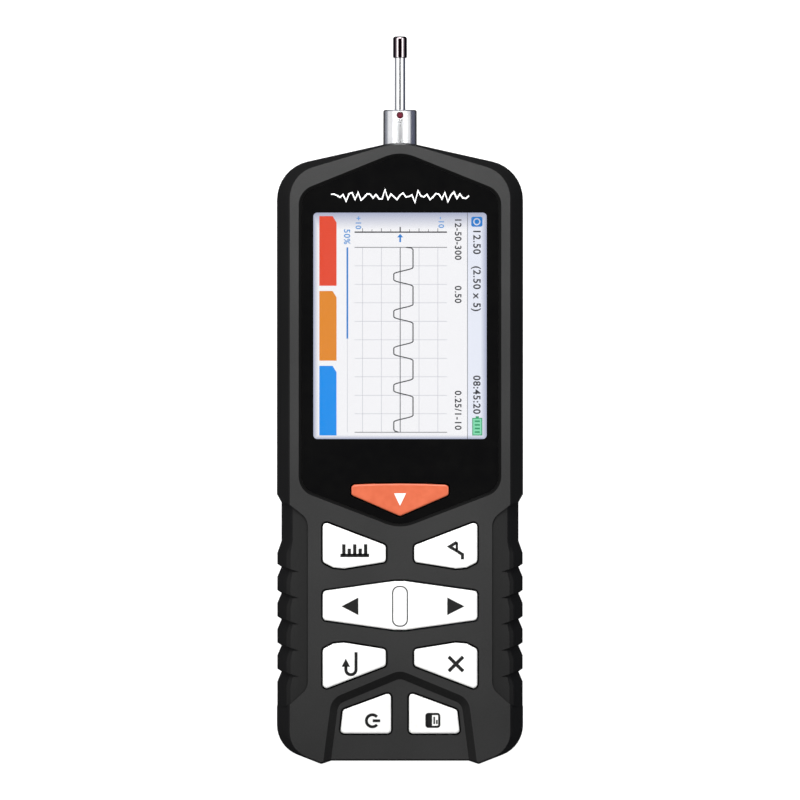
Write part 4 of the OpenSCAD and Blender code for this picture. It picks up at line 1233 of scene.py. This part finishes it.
CROSS = (13.95, -65.9)
CROSS_HALF = 1.8
CROSS_GAP = 0.3
bar_one = [(-CROSS_HALF, -CROSS_HALF), (CROSS_HALF, CROSS_HALF)]
bar_two = [(-CROSS_HALF, CROSS_HALF), (-CROSS_GAP, CROSS_GAP)]
bar_three = [(CROSS_GAP, -CROSS_GAP), (CROSS_HALF, -CROSS_HALF)]
cross_bars = [ribbon(bar, STROKE) for bar in (bar_one, bar_two, bar_three)]
print_on("escape_key", "cross_sign", [moved(bar, *CROSS) for bar in cross_bars])
print("bars of the cross:", len(cross_bars))

# %% Power sign, memory card and start sign
POWER = (-6.9, -80.1)
POWER_RADIUS = 1.5
POWER_GAP_DEGREES = 40
POWER_LINE = STROKE * 0.85
power_arc = arc((0, 0), POWER_RADIUS, POWER_GAP_DEGREES, 360 - POWER_GAP_DEGREES, 28)
power_bar = [(0.1, 0), (1.95, 0)]
power_lines = [ribbon(line, POWER_LINE) for line in (power_arc, power_bar)]
print_on("power_key", "power_sign", [moved(line, *POWER) for line in power_lines])

MEMORY = (8.2, -80.0)
MEMORY_HALF = 1.6
MEMORY_CORNER = 0.5
MEMORY_RIM = 0.55
MEMORY_LINE = 0.4
memory_outline = rounded_box((-MEMORY_HALF, -MEMORY_HALF), (MEMORY_HALF, MEMORY_HALF), MEMORY_CORNER)
memory_closed = memory_outline + [(MEMORY_HALF, MEMORY_HALF - MEMORY_CORNER)]
memory_label = [(-1.45, -1.45), (-0.2, -1.45), (-0.2, 1.45), (-1.45, 1.45)]
memory_lines = [[(0.35, -0.9), (0.35, 0.9)], [(1.0, -0.9), (1.0, 0.1)]]
memory_shapes = [ribbon(memory_closed, MEMORY_RIM), memory_label]
memory_shapes += [ribbon(line, MEMORY_LINE) for line in memory_lines]
print_on("save_key", "card_sign", [moved(shape, *MEMORY) for shape in memory_shapes])

START = (0.0, -24.9)
triangle = [(-1.5, 1.6), (0, -1.5), (1.5, 1.6)]
print_on("start_key", "start_sign", [moved(triangle, *START)], white_ink)
print("shapes of the memory card:", len(memory_shapes))

# %% [markdown]
# ## Profile line
#
# Above the display, the window carries a printed roughness profile: the jagged line that such an
# instrument draws. A sum of three sine waves, taken at steps that don't fit them, looks as uneven as a
# ground surface does and comes out the same each time.

# %% Profile line
PROFILE_HALF = 17.2
PROFILE_Y = 50.9
PROFILE_STEPS = 46
PROFILE_LINE = 0.34
# Each wave: its height in mm, its turn for each step and its start, in radians
PROFILE_WAVES = [(0.8, 2.2, 0.0), (0.55, 3.5, 1.0), (0.45, 1.1, 0.0)]


def profile_height(i):
    """Height of the printed roughness profile at step i, in mm."""
    return sum(height * math.sin(turn * i + start) for height, turn, start in PROFILE_WAVES)


profile = [(-PROFILE_HALF + 2 * PROFILE_HALF * i / PROFILE_STEPS, PROFILE_Y + profile_height(i))
           for i in range(PROFILE_STEPS + 1)]
profile_line = slabs("profile_line", [ribbon(profile, PROFILE_LINE)], window_top - SINK, INK, white_ink)
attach(profile_line, "housing")
print("profile points:", len(profile))

# %% [markdown]
# ## Alignment dot
#
# The red dot on the holder shows which way the stylus faces. It is a drop of enamel in a shallow
# seat, polished down with the holder, so that it still slides through the bush. Rings of points are
# spun round the dot's own axis. Each point lies on the holder's round skin, and the middle of the drop
# stands up a little.

# %% Skin of the drop
dot_low, dot_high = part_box("alignment_dot")
dot_radius = (dot_high.x - dot_low.x) / 2
dot_x = (dot_high.x + dot_low.x) / 2
dot_y = (dot_high.y + dot_low.y) / 2
holder_low, holder_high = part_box("pickup_holder")
holder_radius = (holder_high.x - holder_low.x) / 2
holder_axis = holder_high.z - holder_radius


def drop_point(radius, angle, rise):
    """Point of the drop this far above the holder's round skin."""
    across = radius * math.cos(angle)
    skin = holder_axis + math.sqrt(holder_radius ** 2 - across ** 2)
    return (dot_x + across, dot_y + radius * math.sin(angle), skin + rise * MM)


print("dot radius in mm:", round(dot_radius / MM, 2))

# %% Enamel drop
DROP_RINGS = 6
DROP_SIDES = 32
DROP_RISE = 0.03
DROP_CREASE = 50

drop = bmesh.new()
turn = [2 * math.pi * i / DROP_SIDES for i in range(DROP_SIDES)]
rings = []
for ring in range(DROP_RINGS):
    slope = ring / DROP_RINGS * math.pi / 2
    radius = dot_radius * math.cos(slope)
    rings.append([drop.verts.new(drop_point(radius, a, DROP_RISE * math.sin(slope))) for a in turn])
rings.insert(0, [drop.verts.new((v.co.x, v.co.y, dot_low.z)) for v in rings[0]])
peak = drop.verts.new(drop_point(0, 0, DROP_RISE))
for lower, upper in zip(rings, rings[1:]):
    for i in range(DROP_SIDES):
        j = (i + 1) % DROP_SIDES
        drop.faces.new((lower[i], lower[j], upper[j], upper[i]))
for i in range(DROP_SIDES):
    drop.faces.new((rings[-1][i], rings[-1][(i + 1) % DROP_SIDES], peak))
drop.faces.new(rings[0][::-1])
drop_mesh = bpy.data.meshes.new("enamel_dot")
drop.to_mesh(drop_mesh)
drop.free()
dot = smoothed(new_piece("enamel_dot", drop_mesh, red_enamel), DROP_CREASE)
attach(dot, "pickup")
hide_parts("alignment_dot")
print("rings of the drop:", len(rings))

# %% [markdown]
# The red is painted deepest at the drop's rim and lightest in the middle: painted shade at the rim and a
# painted highlight in the middle. A Gradient texture, centred on the dot and scaled to its radius, runs
# from one to the other and takes the place of the finish's even red.

# %% Enamel colour
# Painted shade at the drop's rim and a painted highlight in its middle
DROP_SHADE_AND_HIGHLIGHT_STOPS = [(0.0, "3e0a1a"), (0.5, "551724"), (1.0, "752d41")]

drop_tree = red_enamel.node_tree
drop_place = wire(drop_tree, "TexCoord").outputs["Object"]
centred = wire(drop_tree, "Mapping", {"vector_type": "TEXTURE"}, Vector=drop_place,
               Location=(dot_x, dot_y, dot_high.z), Scale=[dot_radius] * 3).outputs["Vector"]
inwards = wire(drop_tree, "TexGradient", {"gradient_type": "SPHERICAL"}, Vector=centred).outputs["Fac"]
painted_highlight_red = ramp(drop_tree, inwards, DROP_SHADE_AND_HIGHLIGHT_STOPS)
drop_tree.links.new(painted_highlight_red, drop_tree.nodes["Principled BSDF"].inputs["Base Color"])
print("enamel stops:", len(DROP_SHADE_AND_HIGHLIGHT_STOPS))

# %% [markdown]
# ## Lead screw
#
# Inside, a fine lead screw draws the carriage back. The CAD rod has the thread's outer size. Here a
# Geometry Nodes tree sweeps a three-sided profile along a spiral over a thinner core, which is how a
# thread is cut: by a pointed tool that advances one pitch a turn.

# %% Thread
PITCH = 0.7
THREAD_DEPTH = 0.38
RIDGE = THREAD_DEPTH * 0.75
STEPS_A_TURN = 20
CORE_SIDES = 32

screw_low, screw_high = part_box("lead_screw")
screw_len = (screw_high.y - screw_low.y) / MM
screw_r = (screw_high.x - screw_low.x) / 2 / MM
thread_tree, thread_in = new_tree("threaded_rod", {
    "Turns": "Float", "Length": "Float", "Core Radius": "Float", "Path Radius": "Float",
    "Ridge": "Float", "Place": "Vector", "Finish": "Material"})
spiral = geo(thread_tree, "CurveSpiral", Resolution=STEPS_A_TURN, Rotations=thread_in["Turns"],
             Start_Radius=thread_in["Path Radius"], End_Radius=thread_in["Path Radius"],
             Height=thread_in["Length"])
ridge = geo(thread_tree, "CurvePrimitiveCircle", Resolution=3, Radius=thread_in["Ridge"])
thread = geo(thread_tree, "CurveToMesh", Curve=spiral.outputs["Curve"],
             Profile_Curve=ridge.outputs["Curve"], Fill_Caps=True)
core = geo(thread_tree, "MeshCylinder", Vertices=CORE_SIDES, Radius=thread_in["Core Radius"],
           Depth=thread_in["Length"])
core_up = geo(thread_tree, "Transform", Geometry=core.outputs["Mesh"],
              Translation=(0, 0, screw_len / 2 * MM))
both = geo(thread_tree, "JoinGeometry", Geometry=core_up.outputs["Geometry"])
thread_tree.links.new(thread.outputs["Mesh"], both.inputs["Geometry"])
laid = geo(thread_tree, "Transform", Geometry=both.outputs["Geometry"], Translation=thread_in["Place"],
           Rotation=(math.radians(-90), 0, 0))
close_tree(thread_tree, laid.outputs["Geometry"], thread_in["Finish"])
screw_place = Vector(((screw_low.x + screw_high.x) / 2, screw_low.y, (screw_low.z + screw_high.z) / 2))
threaded = grow("lead_screw_look", thread_tree, {
    "Turns": screw_len / PITCH, "Length": screw_len * MM, "Core Radius": (screw_r - THREAD_DEPTH) * MM,
    "Path Radius": (screw_r - RIDGE) * MM, "Ridge": RIDGE * MM,
    "Place": screw_place, "Finish": plain_steel})
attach(threaded, "screw")
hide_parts("lead_screw")
print("thread turns:", round(screw_len / PITCH))

# %% [markdown]
# ## Inner pieces
#
# What is sealed inside keeps its CAD shape and only gets a finish, for the day someone opens the
# part in another scene.

# %% Inner finishes
INNER = {
    "display_module": display_white, "main_board": solder_mask, "board_screws": plain_steel,
    "key_mat": mat_silicone, "snap_domes": polished_steel, "battery_pack": battery_film,
    "nose_bush": brass, "drive_frame": aluminium, "guide_rods": polished_steel,
    "drive_screws": plain_steel, "drive_motor": plain_steel, "drive_gearbox": brass,
    "screw_bearing": brass, "carriage": dark_nylon, "drive_nut": brass, "stylus_pivot": polished_steel,
}
for node, material in INNER.items():
    mesh = frame["nodes"][node].data
    mesh.materials.clear()
    mesh.materials.append(material)
print("inner pieces:", len(INNER))

# %% [markdown]
#
# The looks mustn't make the part bigger. How much the finished part's box has grown beyond the CAD box
# is printed.

# %% Sizes and finish
look_low, look_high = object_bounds()
grown = (look_high - look_low) - (cad_high - cad_low)
print("grown by in mm:", [round(size / MM, 2) for size in grown])
